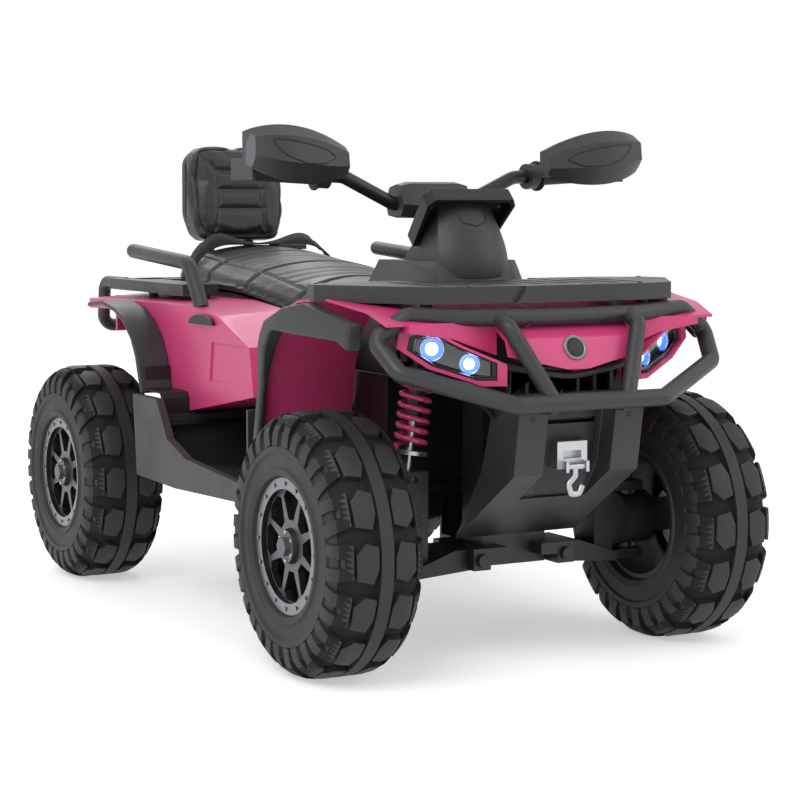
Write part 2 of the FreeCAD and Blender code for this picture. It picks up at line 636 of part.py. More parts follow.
for side in (1, -1):
    low, high = sorted(((lug_x - d.lug_wide) * side, lug_x * side), key=float)
    subframe_parts.append(block(low, high, lug_front, front_y - lug_span, d.tower_low_z, d.beam_top_z))
    low, high = sorted((d.slot_half * side, d.tower_half * side), key=float)
    subframe_parts.append(block(low, high, lug_front, front_y, d.arm_pivot_z, d.beam_top_z))
    low, high = sorted((d.slot_half * side, (lug_x - d.lug_gap) * side), key=float)
    subframe_parts.append(block(low, high, lug_front, front_y - lug_span, d.arm_pivot_z, d.beam_top_z))
column_lean = (d.clamp_y - d.column_foot_y).value / (d.clamp_z - d.steer_plane_z).value
column_y = front_y + d.clamp_y
foot_y = front_y + d.column_foot_y
column_turn = Rotation(Vector(0, 0, 1), Vector(0, column_lean, 1))


def column_y_at(z):
    return foot_y + (z - d.steer_plane_z) * column_lean


bearing_y = column_y_at(d.bearing_z)
subframe_parts.append(block(-d.bearing_half, d.bearing_half, front_y + d.tower_depth * 0.5,
                            bearing_y + d.bearing_half, d.bearing_z - d.bearing_height * 0.5,
                            d.bearing_z + d.bearing_height * 0.5))
frame_solid = fuse("FrameSolid", subframe_parts)


def column_rod(radius, below, above):
    made = primitive("Cylinder", Radius=radius, Height=below + above)
    made.Placement = Placement(Vector(), column_turn)
    base_z = d.bearing_z - below * math.cos(math.atan(column_lean))
    return place(made, zero, column_y_at(base_z), base_z)


eye_room = d.shock_eye_thick * 0.5 + d.lug_gap * 0.5
frame_cuts = [column_rod(d.column_radius + d.fit_gap, d.bearing_height * 1.5, d.bearing_height * 1.5)]
bolt_span = lug_span + d.lug_thick
for side in (1, -1):
    wing_in = d.shock_top_x - d.seat_radius
    low, high = sorted((wing_in * side, (d.tower_wing + d.overrun) * side), key=float)
    frame_cuts.append(block(low, high, front_y - eye_room, front_y + eye_room, d.tower_head_z - d.overrun,
                            d.tower_top_z + d.overrun))
    frame_cuts.append(rod("Y", d.shock_bar + d.fit_gap, d.tower_depth + d.overrun, d.shock_top_x * side,
                          front_y - (d.tower_depth + d.overrun) * 0.5, d.shock_top_z))
    frame_cuts.append(rod("Y", d.bolt_radius + d.fit_gap, bolt_span * 2 + d.overrun, d.arm_pivot_x * side,
                          front_y - bolt_span - d.overrun * 0.5, d.arm_pivot_z))
keep("front_subframe", cut("FrontSubframe", frame_solid, fuse("FrameCuts", frame_cuts)))

pivot_bolts = []
for side in (1, -1):
    pivot_bolts.append(rod("Y", d.bolt_radius, bolt_span * 2 + d.bolt_head, d.arm_pivot_x * side,
                           front_y - bolt_span, d.arm_pivot_z))
    pivot_bolts.append(rod("Y", d.bolt_radius * 1.7, d.bolt_head, d.arm_pivot_x * side,
                           front_y - bolt_span - d.bolt_head, d.arm_pivot_z))
keep("arm_pivot_bolts", fuse("ArmPivotBolts", pivot_bolts))

# Steering column with its pitman plate

column_length = (d.clamp_z - d.steer_plane_z).value / math.cos(math.atan(column_lean))
column_top = point(0, column_y, d.clamp_z)
pitman_z = d.steer_plane_z + d.pitman_rise
foot_z = pitman_z + d.pitman_thick * 0.5
column_foot = point(0, column_y_at(foot_z), foot_z)
column_way = column_top - column_foot
column = Part.makeCylinder(float(d.column_radius), column_way.Length, column_foot, column_way)
plate_half = d.pitman_half + d.rod_eye_radius
plate = Part.makeBox(float(plate_half) * 2, float(d.rod_eye_radius) * 2, float(d.pitman_thick),
                     point(-plate_half, tip_y - d.rod_eye_radius, pitman_z))
stem = Part.makeBox(float(d.rod_eye_radius) * 2.4, float(tip_y - foot_y), float(d.pitman_thick),
                    point(-d.rod_eye_radius * 1.2, foot_y - d.rod_eye_radius, pitman_z))
keep("steering_column", shaped("SteeringColumn", column.fuse(plate).fuse(stem).removeSplitter()))

# Handlebar, grips, clamp cover and hand guards

bar_y = column_y - d.bar_sweep * 0.3


def bar_points(x_limit):
    side = [point(d.bar_root_x, column_y, d.bar_mid_z), point(d.bar_rise_x, bar_y, d.bar_rise_z),
            point(x_limit, bar_y + d.bar_sweep, d.bar_end_z)]
    return [Vector(-p.x, p.y, p.z) for p in reversed(side)] + side


bar_solid = tube(bar_points(d.bar_end_x), d.bar_radius, d.bar_bend)
keep("handlebar", shaped("Handlebar", bar_solid.cut(nodes["steering_column"].Shape)))

grip_way = (bar_points(d.bar_end_x)[-1] - bar_points(d.bar_end_x)[-2]).normalize()
grip_root = bar_points(d.bar_end_x)[-2] + grip_way * ((d.grip_in_x - d.bar_rise_x).value / grip_way.x)
grip = Part.makeCylinder(float(d.grip_radius), float(d.grip_length), grip_root, grip_way)
grip = grip.fuse(Part.makeCylinder(float(d.flange_radius), float(d.flange_thick), grip_root, grip_way))
grip = grip.cut(Part.makeCylinder(float(d.bar_radius + d.fit_gap), float(d.grip_length), grip_root, grip_way))
keep("grip_left", shaped("Grip", grip.removeSplitter()))
mirrored("grip_right", nodes["grip_left"])

cover = new_body("Cover")
cover_shares = ((0.0, 0.36), (0.2, 0.95), (0.42, 1.0), (0.8, 0.9), (1.0, 0.42), (0.86, 0.0), (0.16, 0.0))
cover_depth = d.cover_front + d.cover_rear


def cover_outline(shrink):
    return scaled(cover_shares, column_y - d.cover_front + shrink, cover_depth - shrink * 2,
                  d.cover_low_z + shrink, d.cover_height - shrink * 2)


inner_half = d.cover_half * 0.72
loft(cover, "YZ_Plane", [(cover_outline(d.wall), -d.cover_half), (cover_outline(zero), -inner_half),
                         (cover_outline(zero), inner_half), (cover_outline(d.wall), d.cover_half)])
bar_room = tube(bar_points(d.bar_end_x), d.bar_radius + d.fit_gap, d.bar_bend)
column_room = Part.makeCylinder(float(d.column_radius + d.fit_gap), column_length * 2, column_foot, column_way)
keep("bar_cover", cut("BarCover", cover, shaped("BarAndColumn", bar_room.fuse(column_room))))

# A hand guard is a hollow shield: a loft of six-sided outlines along X, open towards the hand.
# Each station: place along the guard, depth, height and lift
guard = new_body("Guard")
guard_shares = ((1.0, 0.20), (0.34, 0.0), (0.0, 0.34), (0.10, 0.80), (0.50, 1.0), (1.0, 0.94))
station_shares = ((0.0, 0.52, 0.52, 0.12), (0.36, 0.88, 0.92, 0.0), (0.82, 1.0, 0.90, 0.10),
                  (1.0, 0.84, 0.68, 0.25))
guard_span = d.guard_out_x - d.guard_in_x
guard_y = column_y - d.guard_front


def guard_outline(depth_share, height_share, lift_share, inset):
    start = guard_y + d.guard_depth * (1 - depth_share) + inset
    height = d.guard_height * height_share - inset * 2
    low = d.guard_low_z + d.guard_height * lift_share + inset
    return scaled(guard_shares, start, d.guard_depth * depth_share, low, height)


def guard_sections(inset, end):
    made = []
    for place_share, depth, height, lift in station_shares:
        shift = end * (1 - place_share * 2)
        outline = guard_outline(depth, height, lift, inset)
        made.append((outline, d.guard_in_x + guard_span * place_share + shift))
    return made


loft(guard, "YZ_Plane", guard_sections(zero, zero), ruled=False)
loft(guard, "YZ_Plane", guard_sections(d.guard_wall, d.guard_wall), "SubtractiveLoft", ruled=False)
collar_root = bar_points(d.bar_end_x)[-2] + grip_way * ((d.guard_in_x - d.bar_rise_x).value / grip_way.x)
collar_length = (d.grip_in_x - d.guard_in_x - d.part_gap).value
collar = Part.makeCylinder(float(d.collar_radius), collar_length, collar_root, grip_way)
web_low = d.bar_end_z - d.collar_radius * 0.5
collar_stay = Part.makeBox(collar_length * 0.8, (column_y - guard_y).value * 0.6, float(d.collar_radius),
                           point(d.guard_in_x, guard_y + d.guard_depth * 0.6, web_low))
stay_y = guard_y + d.guard_depth * 0.8
stay_length = float(column_y - stay_y + d.collar_radius)
end_stay = Part.makeBox(float(d.guard_wall), stay_length, float(d.collar_radius) * 1.6,
                        point(d.bar_end_x, stay_y, d.bar_end_z - d.collar_radius * 0.8))
guard_frame = collar.fuse(collar_stay).fuse(end_stay)
bar_run = (d.bar_end_x - d.guard_in_x).value / grip_way.x + float(d.overrun)
guard_frame = guard_frame.cut(Part.makeCylinder(float(d.bar_radius + d.fit_gap), bar_run,
                                                collar_root - grip_way * float(d.overrun), grip_way))
guard_solid = fuse("GuardSolid", [guard, shaped("GuardFrame", guard_frame)])
keep("hand_guard_left", guard_solid)
mirrored("hand_guard_right", guard_solid)

# Skid plate: a hollow prow with a recess for the winch

skid_stops = [(-d.skid_rear, d.skid_top_z, 0, -1), (-(d.skid_front - d.skid_wall), d.skid_top_z, 0.6, -1),
             (-d.skid_front, d.skid_top_z - d.skid_wall * 3, 1, -0.2), (-d.skid_knee, d.skid_knee_z, 1, 0.3),
             (-d.skid_toe, d.skid_low_z, 0.6, 0.8)]
skid_back = [(front_y - d.skid_rear * 0.8, d.skid_knee_z),
             (front_y - d.skid_rear, d.skid_top_z - d.skid_wall * 2.5)]


def skid_line(depth):
    return [(front_y + y + depth * a, z + depth * b) for y, z, a, b in skid_stops]


skid = new_body("Skid")
pad(skid, "YZ_Plane", skid_line(zero) + skid_back, d.skid_half * 2, middle=True)
recess_out = d.recess_half + d.skid_wall
hollow = skid_line(d.skid_wall)[1:-1] + [(front_y - d.skid_toe + d.skid_wall, d.skid_low_z + d.skid_wall * 1.2),
                                        (front_y - d.skid_toe + d.overrun, d.skid_knee_z),
                                        (front_y - d.skid_rear + d.overrun, d.skid_top_z - d.skid_wall)]
side_room = d.skid_half - d.skid_wall - recess_out
pocket(skid, "YZ_Plane", hollow, side_room, d.skid_half - d.skid_wall)
pocket(skid, "YZ_Plane", hollow, side_room, -recess_out)
inner_depth = d.recess_depth + d.skid_wall
core_top, core_knee = skid_line(inner_depth)[2:-1]
core = [core_top, core_knee, hollow[-3], hollow[-2], (front_y - d.skid_rear + d.overrun, core_top[1])]
pocket(skid, "YZ_Plane", core, recess_out * 2, recess_out)
recess_line = skid_line(d.recess_depth)
bay = [(front_y - d.skid_front - d.overrun, d.recess_low_z), (front_y - d.skid_knee * 0.66, d.recess_low_z),
       recess_line[3], recess_line[2], (recess_line[2][0], d.skid_top_z + d.overrun),
       (front_y - d.skid_front - d.overrun, d.skid_top_z + d.overrun)]
pocket(skid, "YZ_Plane", bay, d.recess_half * 2, d.recess_half)
slot_start = front_y - d.skid_front - d.overrun
slot_reach = recess_line[2][0] + d.skid_wall * 2 - slot_start
for index in range(2):
    slot_z = d.skid_top_z - d.skid_slot * (2 + index * 2.5)
    pocket(skid, "XZ_Plane", rectangle(-d.recess_half * 0.8, d.recess_half * 0.8, slot_z, slot_z + d.skid_slot),
           slot_reach, -slot_start)
keep("skid_plate", skid)


def largest(shape):
    return max(shape.Solids, key=lambda solid: solid.Volume)


def trimmed(shape, *others):
    """The largest solid of a shape after its neighbours are cut away."""
    for other in others:
        shape = shape.cut(other.Shape)
    return largest(shape)


# Winch fairlead and its hook

doc.recompute()
lead_y = front_y - d.skid_front + d.recess_depth - d.fairlead_thick
lead = new_body("Fairlead")
lead_top = d.fairlead_z + d.fairlead_height
lead_plate = rectangle(-d.fairlead_half, d.fairlead_half, d.fairlead_z, lead_top)
pad(lead, "XZ_Plane", lead_plate, d.fairlead_thick * 3, -lead_y, back=True)
lead_slot = rectangle(-d.fairlead_half * 0.6, d.fairlead_half * 0.6, d.fairlead_z + d.fairlead_height * 0.38,
                      d.fairlead_z + d.fairlead_height * 0.66)
pocket(lead, "XZ_Plane", lead_slot, d.fairlead_thick * 2, -(lead_y - d.overrun * 0.1))
ear_out = d.hook_radius + d.hook_pin * 0.5
hook_y = lead_y - d.hook_wire * 1.4
hook_z = d.fairlead_z + d.hook_pin
for side in (1, -1):
    low, high = sorted((ear_out * side, (ear_out + d.hook_wire) * side), key=float)
    lead_ear = rectangle(low, high, hook_z - d.hook_pin * 2, hook_z + d.hook_pin * 2)
    pad(lead, "XZ_Plane", lead_ear, d.hook_wire * 3.2, -(hook_y - d.hook_pin * 2), back=True)
doc.recompute()
pin_half = ear_out + d.hook_wire
pin_end = point(-pin_half, hook_y, hook_z)
pin_bore = Part.makeCylinder(float(d.hook_pin + d.fit_gap), float(pin_half) * 2, pin_end, Vector(1, 0, 0))
keep("winch_fairlead", shaped("WinchFairlead", trimmed(lead.Shape.cut(pin_bore), skid)))
hook_shares = ((0.0, 0.0), (0.0, -1.1), (-0.95, -2.0), (-0.5, -3.1), (0.55, -3.1), (0.95, -2.2))
hook_path = [point(d.hook_radius * a, hook_y, hook_z + d.hook_radius * b) for a, b in hook_shares]
hook = tube(hook_path, d.hook_wire, d.hook_wire * 1.1)
eye_half = ear_out - d.part_gap
hook = hook.fuse(Part.makeCylinder(float(d.hook_pin), float(pin_half) * 2, pin_end, Vector(1, 0, 0)))
hook = hook.fuse(Part.makeCylinder(float(d.hook_wire), float(eye_half) * 2, point(-eye_half, hook_y, hook_z),
                                   Vector(1, 0, 0)))
keep("winch_hook", shaped("WinchHook", hook.removeSplitter()))

# Grille: a frame with bars

grille = new_body("Grille")
grille_y = front_y - d.grille_ahead
grille_top = d.grille_low_z + d.grille_height
pad(grille, "XZ_Plane", rectangle(-d.grille_half, d.grille_half, d.grille_low_z, grille_top), d.grille_depth,
    -grille_y, back=True)
slot_count = 7
slot_pitch = d.grille_half * (2 / slot_count)
for index in range(slot_count):
    slot_left = -d.grille_half + slot_pitch * index + d.grille_bar * 0.5
    slot = rectangle(slot_left, slot_left + slot_pitch - d.grille_bar, d.grille_low_z + d.grille_bar,
                     grille_top - d.grille_bar)
    pocket(grille, "XZ_Plane", slot, d.grille_depth + d.overrun, -(grille_y - d.overrun * 0.5))
keep("grille", grille)

# Front body: hood and fender sheet, arch walls, nose, brows, tank fins and lamp surrounds

fender_y = front_y - d.fender_front
# Each row: place along the fender and its height, then the way in which the sheet's thickness goes
fender_shares = ((-0.02, 0.945, 0.12, -1), (0.31, 1.0, 0, -1), (0.54, 0.975, -0.15, -1),
                 (0.737, 0.885, -0.6, -0.8), (0.83, 0.75, -0.85, -0.6), (0.89, 0.58, -0.95, -0.4),
                 (0.99, 0.0, -1, 0))


def fender_line(depth):
    line = [(front_y - d.hood_front, d.hood_front_z - depth)]
    for y, z, a, b in fender_shares:
        line.append((fender_y + d.fender_length * y + depth * a,
                     d.fender_low_z + d.fender_height * z + d.pink_rise + depth * b))
    return line


def taper_corner(body, x_out, side, z_high, depth):
    """Cut the plan of a fender piece so that it narrows towards the front."""
    far = front_y - d.hood_front - d.overrun
    root = fender_y + d.fender_length * 0.46
    corner = [(x_out * side, root), ((x_out + d.overrun) * side, root), ((x_out + d.overrun) * side, far),
              ((x_out - d.fender_taper_x) * side, far)]
    pocket(body, "XY_Plane", corner, depth, z_high)


fender_top = d.fender_low_z + d.fender_height
hood = new_body("Hood")
pad(hood, "YZ_Plane", fender_line(zero) + fender_line(d.wall)[::-1], d.fender_x * 2, middle=True)
for side in (1, -1):
    taper_corner(hood, d.fender_x, side, fender_top + d.overrun, d.fender_height)
between_arches = rectangle(-d.arch_in_x, d.arch_in_x, d.fender_low_z - d.overrun, d.hood_front_z + d.wall)
pocket(hood, "XZ_Plane", between_arches, d.fender_length, -(fender_y + d.fender_length * 0.66))
pocket(hood, "XY_Plane", rectangle(-d.cowl_hole_half, d.cowl_hole_half, front_y + d.cowl_front * 1.2,
                                   fender_y + d.fender_length), d.overrun * 3, fender_top + d.overrun)
nose_line = [(-d.hood_front, d.hood_front_z), (-d.nose_knee, d.nose_knee_z), (-d.nose_front, d.nose_low_z)]
nose_back = [(y + d.wall * 1.5, z - d.wall * 0.8) for y, z in reversed(nose_line)]
pad(hood, "YZ_Plane", [(front_y + y, z) for y, z in nose_line + nose_back], d.nose_half * 2, middle=True)
for side in (1, -1):
    below = d.nose_low_z - d.wall
    chin = [(0, below), (d.nose_half * side, below), (d.nose_half * side, d.nose_low_z + d.nose_rise)]
    chin_y = front_y - d.nose_front - d.overrun * 0.5
    pocket(hood, "XZ_Plane", chin, d.nose_front - d.nose_knee + d.overrun, -chin_y)
for side in (1, -1):
    brow_in = (d.nose_half - d.wall) * side
    brow = [(brow_in, d.nose_low_z + d.nose_rise), (brow_in, d.hood_front_z), (d.brow_x * side, d.hood_front_z),
            (d.brow_x * side, d.lamp_z + d.lamp_height * 0.5),
            (d.lamp_x * side, d.lamp_z + d.lamp_height * 0.35)]
    pad(hood, "XZ_Plane", brow, d.brow_depth * 2, -(front_y - d.hood_front - d.brow_depth * 0.7), back=True)
    fin_shares = ((0.0, 0.0), (0.0, 0.4), (0.72, 1.0), (0.93, 0.88), (1.0, 0.0))
    fin_low = d.tank_low_z - d.wall * 2
    fin = scaled(fin_shares, front_y + d.tank_front, d.tank_length, fin_low, d.tank_height + d.wall * 2)
    pad(hood, "YZ_Plane", fin, d.tank_thick, d.tank_in_x if side > 0 else -(d.tank_in_x + d.tank_thick))

lamp_shares = ((-0.5, -0.5), (-0.28, -0.5), (0.22, -0.2), (0.5, 0.14), (0.47, 0.42), (0.24, 0.5), (-0.12, 0.16),
               (-0.5, -0.14))
lamp_y = front_y - d.lamp_ahead


def lamp_outline(scale):
    return [(d.lamp_length * (a * scale), d.lamp_height * (b * scale)) for a, b in lamp_shares]


def at_lamp(body):
    body.Placement = Placement(Vector(), Rotation(Vector(0, 0, 1), float(d.lamp_turn)))
    return place(body, d.lamp_x, lamp_y, d.lamp_z)


def pair(label, source):
    """One node that holds a left piece and its mirror image as two solids."""
    twin = doc.addObject("Part::Mirroring", "Twin")
    twin.Source = source
    twin.Normal = Vector(1, 0, 0)
    made = doc.addObject("Part::Compound", label)
    made.Links = [source, twin]
    return keep(label, made)


surround = new_body("LampSurround")
pad(surround, "XZ_Plane", lamp_outline(1.22), d.ring_depth, d.lens_set, back=True)
pocket(surround, "XZ_Plane", lamp_outline(1.0), d.ring_depth + d.overrun, d.overrun * 0.5)
at_lamp(surround)
surround_twin = doc.addObject("Part::Mirroring", "SurroundTwin")
surround_twin.Source = surround
surround_twin.Normal = Vector(1, 0, 0)
housing = new_body("LampHousing")
pad(housing, "XZ_Plane", lamp_outline(1.0), d.lamp_depth, back=True)
pocket(housing, "XZ_Plane", lamp_outline(0.88), d.lens_set)
at_lamp(housing)
lens = new_body("LampLens")
pad(lens, "XZ_Plane", lamp_outline(0.86), d.lens_depth, -(d.lens_set - d.lens_depth), back=True)
at_lamp(lens)
pair("headlights", housing)
pair("headlight_lenses", lens)
doc.recompute()
nose_lean = (d.nose_front - d.nose_knee).value / (d.nose_knee_z - d.nose_low_z).value
boss_y = front_y - d.nose_front + (d.boss_z - d.nose_low_z) * nose_lean
boss_way = Vector(0, -1, -nose_lean).normalize()
boss_root = point(0, boss_y, d.boss_z) - boss_way * float(d.wall)
boss = Part.makeCylinder(float(d.boss_radius), float(d.boss_height + d.wall), boss_root, boss_way)
front_solid = hood.Shape.fuse(surround.Shape).fuse(surround_twin.Shape).fuse(boss)
front_solid = trimmed(front_solid, nodes["headlights"], nodes["headlight_lenses"], grille)
keep("front_body", shaped("FrontBody", front_solid.removeSplitter()))

# Front flares: a lip that follows the fender edge

flare = new_body("Flare")
flare_shares = ((0.0, 0.89), (0.36, 0.99), (0.54, 0.96), (0.737, 0.875), (0.83, 0.735), (0.89, 0.565),
                (0.985, 0.0), (0.93, 0.0), (0.84, 0.53), (0.76, 0.71), (0.66, 0.82), (0.10, 0.79), (0.016, 0.74))
flare_outline = scaled(flare_shares, fender_y, d.fender_length, d.fender_low_z, d.fender_height)
pad(flare, "YZ_Plane", flare_outline, d.flare_thick + d.fender_taper_x, d.fender_x - d.fender_taper_x)
flare_out = d.fender_x + d.flare_thick
taper_corner(flare, flare_out, 1, fender_top + d.overrun, d.fender_height * 1.4)
root_y = fender_y + d.fender_length * 0.46
taper_end = front_y - d.hood_front - d.overrun
taper_x = d.fender_x - d.fender_taper_x
inner_side = [(taper_x - d.overrun, root_y + d.fender_length), (d.fender_x, root_y + d.fender_length),
              (d.fender_x, root_y), (taper_x, taper_end), (taper_x - d.overrun, taper_end)]
pocket(flare, "XY_Plane", inner_side, d.fender_height * 1.4, fender_top + d.overrun)
leg_x = d.fender_x + d.flare_leg
leg_low = d.fender_low_z - d.overrun
leg_top = d.fender_low_z + d.fender_height * 0.80
leg_side = [(flare_out, leg_top), (leg_x, d.fender_low_z + d.fender_height * 0.52), (leg_x, leg_low),
            (flare_out + d.overrun, leg_low), (flare_out + d.overrun, leg_top)]
pocket(flare, "XZ_Plane", leg_side, d.fender_length, -(fender_y + d.fender_length * 0.5))
pair("front_flares", flare)

# Front bumper: a closed tube frame, two uprights and four stays

doc.recompute()
bar_front_y = front_y - d.front_overhang + d.tube_radius
top_bar_y = front_y - d.top_bar_ahead
half_loop = [point(0, top_bar_y, d.top_bar_z), point(d.upright_top_half, top_bar_y, d.top_bar_z),
             point(d.corner_top_x, front_y - d.corner_top_ahead, d.corner_top_z),
             point(d.corner_mid_x, front_y - d.corner_mid_ahead, d.corner_mid_z),
             point(d.corner_low_x, front_y - d.corner_low_ahead, d.corner_low_z),
             point(d.lower_bar_half, bar_front_y, d.lower_bar_z), point(0, bar_front_y, d.lower_bar_z)]
upright = [point(d.upright_low_half, bar_front_y, d.lower_bar_z),
           point(d.upright_top_half, front_y - d.upright_top_ahead, d.upright_top_z),
           point(d.upright_top_half, top_bar_y, d.top_bar_z)]
half_bumper = tube(half_loop, d.tube_radius, d.bumper_bend * 0.6)
half_bumper = half_bumper.fuse(tube(upright, d.tube_radius * 0.92, d.bumper_bend * 0.5))
stay_z = d.lower_bar_z - d.stay_radius
low_stay = Part.makeCylinder(float(d.stay_radius), float(front_y - d.skid_front + d.skid_wall - bar_front_y),
                             point(d.upright_low_half, bar_front_y, stay_z), Vector(0, 1, 0))
top_stay = Part.makeCylinder(float(d.stay_radius), float(d.top_bar_ahead - d.hood_front + d.wall),
                             point(d.upright_low_half, top_bar_y, d.hood_front_z), Vector(0, 1, 0))
half_bumper = half_bumper.fuse(low_stay).fuse(top_stay)
bumper = half_bumper.fuse(half_bumper.mirror(Vector(0, 0, 0), Vector(1, 0, 0))).removeSplitter()
keep("front_bumper", shaped("FrontBumper", trimmed(bumper, skid, nodes["front_body"])))

# Front rack: a slotted tray with a deep rim and a front lip, on four legs

rack = new_body("Rack")
rack_front_y = front_y - d.rack_front
rack_rear_y = front_y + d.rack_rear
rack_top = d.rack_z + d.rack_thick
half_plan = [(d.rack_front_half * 0.7, rack_front_y), (d.rack_front_half, rack_front_y + d.rack_front * 0.13),
             (d.rack_half, front_y + d.rack_rear * 0.2), (d.rack_half * 0.97, front_y + d.rack_rear * 0.6),
             (d.rack_rear_half, rack_rear_y)]
pad(rack, "XY_Plane", both_sides(half_plan), rack_top - d.rack_skirt_z, d.rack_skirt_z)
inner_plan = [(x - d.rack_rim, y + d.rack_rim) for x, y in half_plan[:2]]
inner_plan += [(x - d.rack_rim, y - d.rack_rim * 0.6) for x, y in half_plan[2:]]
pocket(rack, "XY_Plane", both_sides(inner_plan), d.overrun, d.rack_z)
lip_y = rack_front_y - d.lip_thick
lip = both_sides([(d.lip_half, rack_top), (d.lip_low_half, d.rack_skirt_z)])
pad(rack, "XZ_Plane", lip, d.lip_thick + d.rack_rim * 0.5, -lip_y, back=True)
slot_front = rack_front_y + d.rack_front * 0.28
for index in range(SIZES["rack_slots"]):
    slot_x = d.rack_slot_pitch * (index - (SIZES["rack_slots"] - 1) / 2)
    slot = rectangle(slot_x - d.rack_slot_width * 0.5, slot_x + d.rack_slot_width * 0.5, slot_front,
                     slot_front + d.rack_slot_length)
    pocket(rack, "XY_Plane", slot, d.rack_thick * 3, rack_top + d.rack_thick)
cowl_room = d.cowl_half * 0.95
notch_y = front_y + d.cowl_front - d.wall
pocket(rack, "XY_Plane", rectangle(-cowl_room, cowl_room, notch_y, rack_rear_y + d.overrun), d.overrun * 1.5,
       rack_top + d.rack_thick)
rack_solid = rack.Shape
deck_line = fender_line(zero)


def deck_height(y):
    for (y0, z0), (y1, z1) in zip(deck_line, deck_line[1:]):
        if float(y0) <= y <= float(y1):
            return float(z0) + (float(z1) - float(z0)) * (y - float(y0)) / (float(y1) - float(y0))
    raise ValueError("no deck under a rack leg")


for leg_y in (float(front_y - d.leg_ahead), float(front_y + d.leg_behind)):
    for side in (1, -1):
        leg_low = deck_height(leg_y) - float(d.wall) * 0.6
        leg = Part.makeCylinder(float(d.leg_radius), float(d.rack_z) - leg_low + float(d.wall),
                                Vector(float(d.leg_x) * side, leg_y, leg_low))
        rack_solid = rack_solid.fuse(leg)
keep("front_rack", shaped("FrontRack", trimmed(rack_solid, nodes["front_body"]).removeSplitter()))

# Rear body: two hollow side panels with wheel arches and a rear valance

panel_y = rear_y - d.panel_front
# Each row: place along the panel and its height, the way of the wall's inset and the way of the bevel
panel_shares = ((0.0, 0.24, 1, 0.6, 4, 0), (0.02, 0.70, 1, -0.6, 4, -1), (0.21, 0.94, 0.2, -1, 1.2, -1),
                (0.37, 1.0, 0.05, -1, 0, -1), (0.55, 1.0, 0, -1, 0, -1), (1.0, 0.97, -1, -1, 0, -1),
                (1.0, 0.83, -1, 1, 0, 0), (0.78, 0.855, 0, 1, 0, 0), (0.60, 0.74, -0.6, 0.8, 0, 0),
                (0.523, 0.12, -1, 0.3, 0, 0), (0.39, 0.0, -0.2, 1, 0, 0))
relief_shares = ((0.255, 0.66), (0.268, 0.31), (0.14, 0.33), (0.075, 0.52), (0.09, 0.66))


def panel_outline(bevel, inset):
    return [(panel_y + d.panel_length * y + inset * a + bevel * m,
             d.panel_low_z + d.panel_height * z + inset * b + bevel * n) for y, z, a, b, m, n in panel_shares]


panel = new_body("Panel")
loft(panel, "YZ_Plane", [(panel_outline(zero, zero), d.panel_in_x),
                         (panel_outline(d.panel_bevel, zero), d.panel_x)])
panel_wall_x = d.panel_x - d.wall - d.panel_relief
loft(panel, "YZ_Plane", [(panel_outline(zero, d.wall), d.panel_in_x),
                         (panel_outline(d.panel_bevel, d.wall), panel_wall_x)], "SubtractiveLoft")
pocket(panel, "YZ_Plane", scaled(relief_shares, panel_y, d.panel_length, d.panel_low_z, d.panel_height),
       d.panel_relief, d.panel_x)
panel_twin = doc.addObject("Part::Mirroring", "PanelTwin")
panel_twin.Source = panel
panel_twin.Normal = Vector(1, 0, 0)
valance_y = panel_y + d.panel_length
valance_top = d.panel_low_z + d.panel_height * 0.95
valance = block(-(d.panel_x * 0.8), d.panel_x * 0.8, valance_y - d.wall, valance_y + d.wall,
                d.panel_low_z + d.panel_height * 0.6, valance_top)
keep("rear_body", fuse("RearBody", [panel, panel_twin, valance]))

# Rear flares: a band that stands out over each rear tyre

band_shares = ((1.0, 0.96, 0, -1), (0.72, 1.0, 0, -1), (0.48, 0.93, 0.3, -0.95), (0.30, 0.80, 0.55, -0.8),
               (0.17, 0.62, 0.8, -0.55), (0.09, 0.42, 0.95, -0.3), (0.0, 0.0, 1, 0))


def band_line(depth):
    return [(rear_y - d.rear_flare_front + d.rear_flare_length * y + depth * a,
             d.rear_flare_low_z + d.rear_flare_height * z + depth * b) for y, z, a, b in band_shares]


band = new_body("Band")
pad(band, "YZ_Plane", band_line(zero) + band_line(d.wall * 2)[::-1], d.rear_flare_x - d.panel_x, d.panel_x)
pair("rear_flares", band)

plug = new_body("Plug")
dome_turns = [math.pi * k / 8 for k in range(9)]
dome = [(d.plug_radius * (1.5 * math.cos(turn)), d.plug_radius * (0.5 * math.sin(turn)))
        for turn in dome_turns]
pad(plug, "YZ_Plane", dome, d.plug_height)
place(plug, d.panel_x, rear_y - d.plug_y, d.plug_z)
pair("side_plugs", plug)

# Footwells: floor, front and rear wall, and an outer sill with a heel guard

foot_front_y = rear_y - d.foot_front
foot_rear_y = rear_y - d.foot_rear


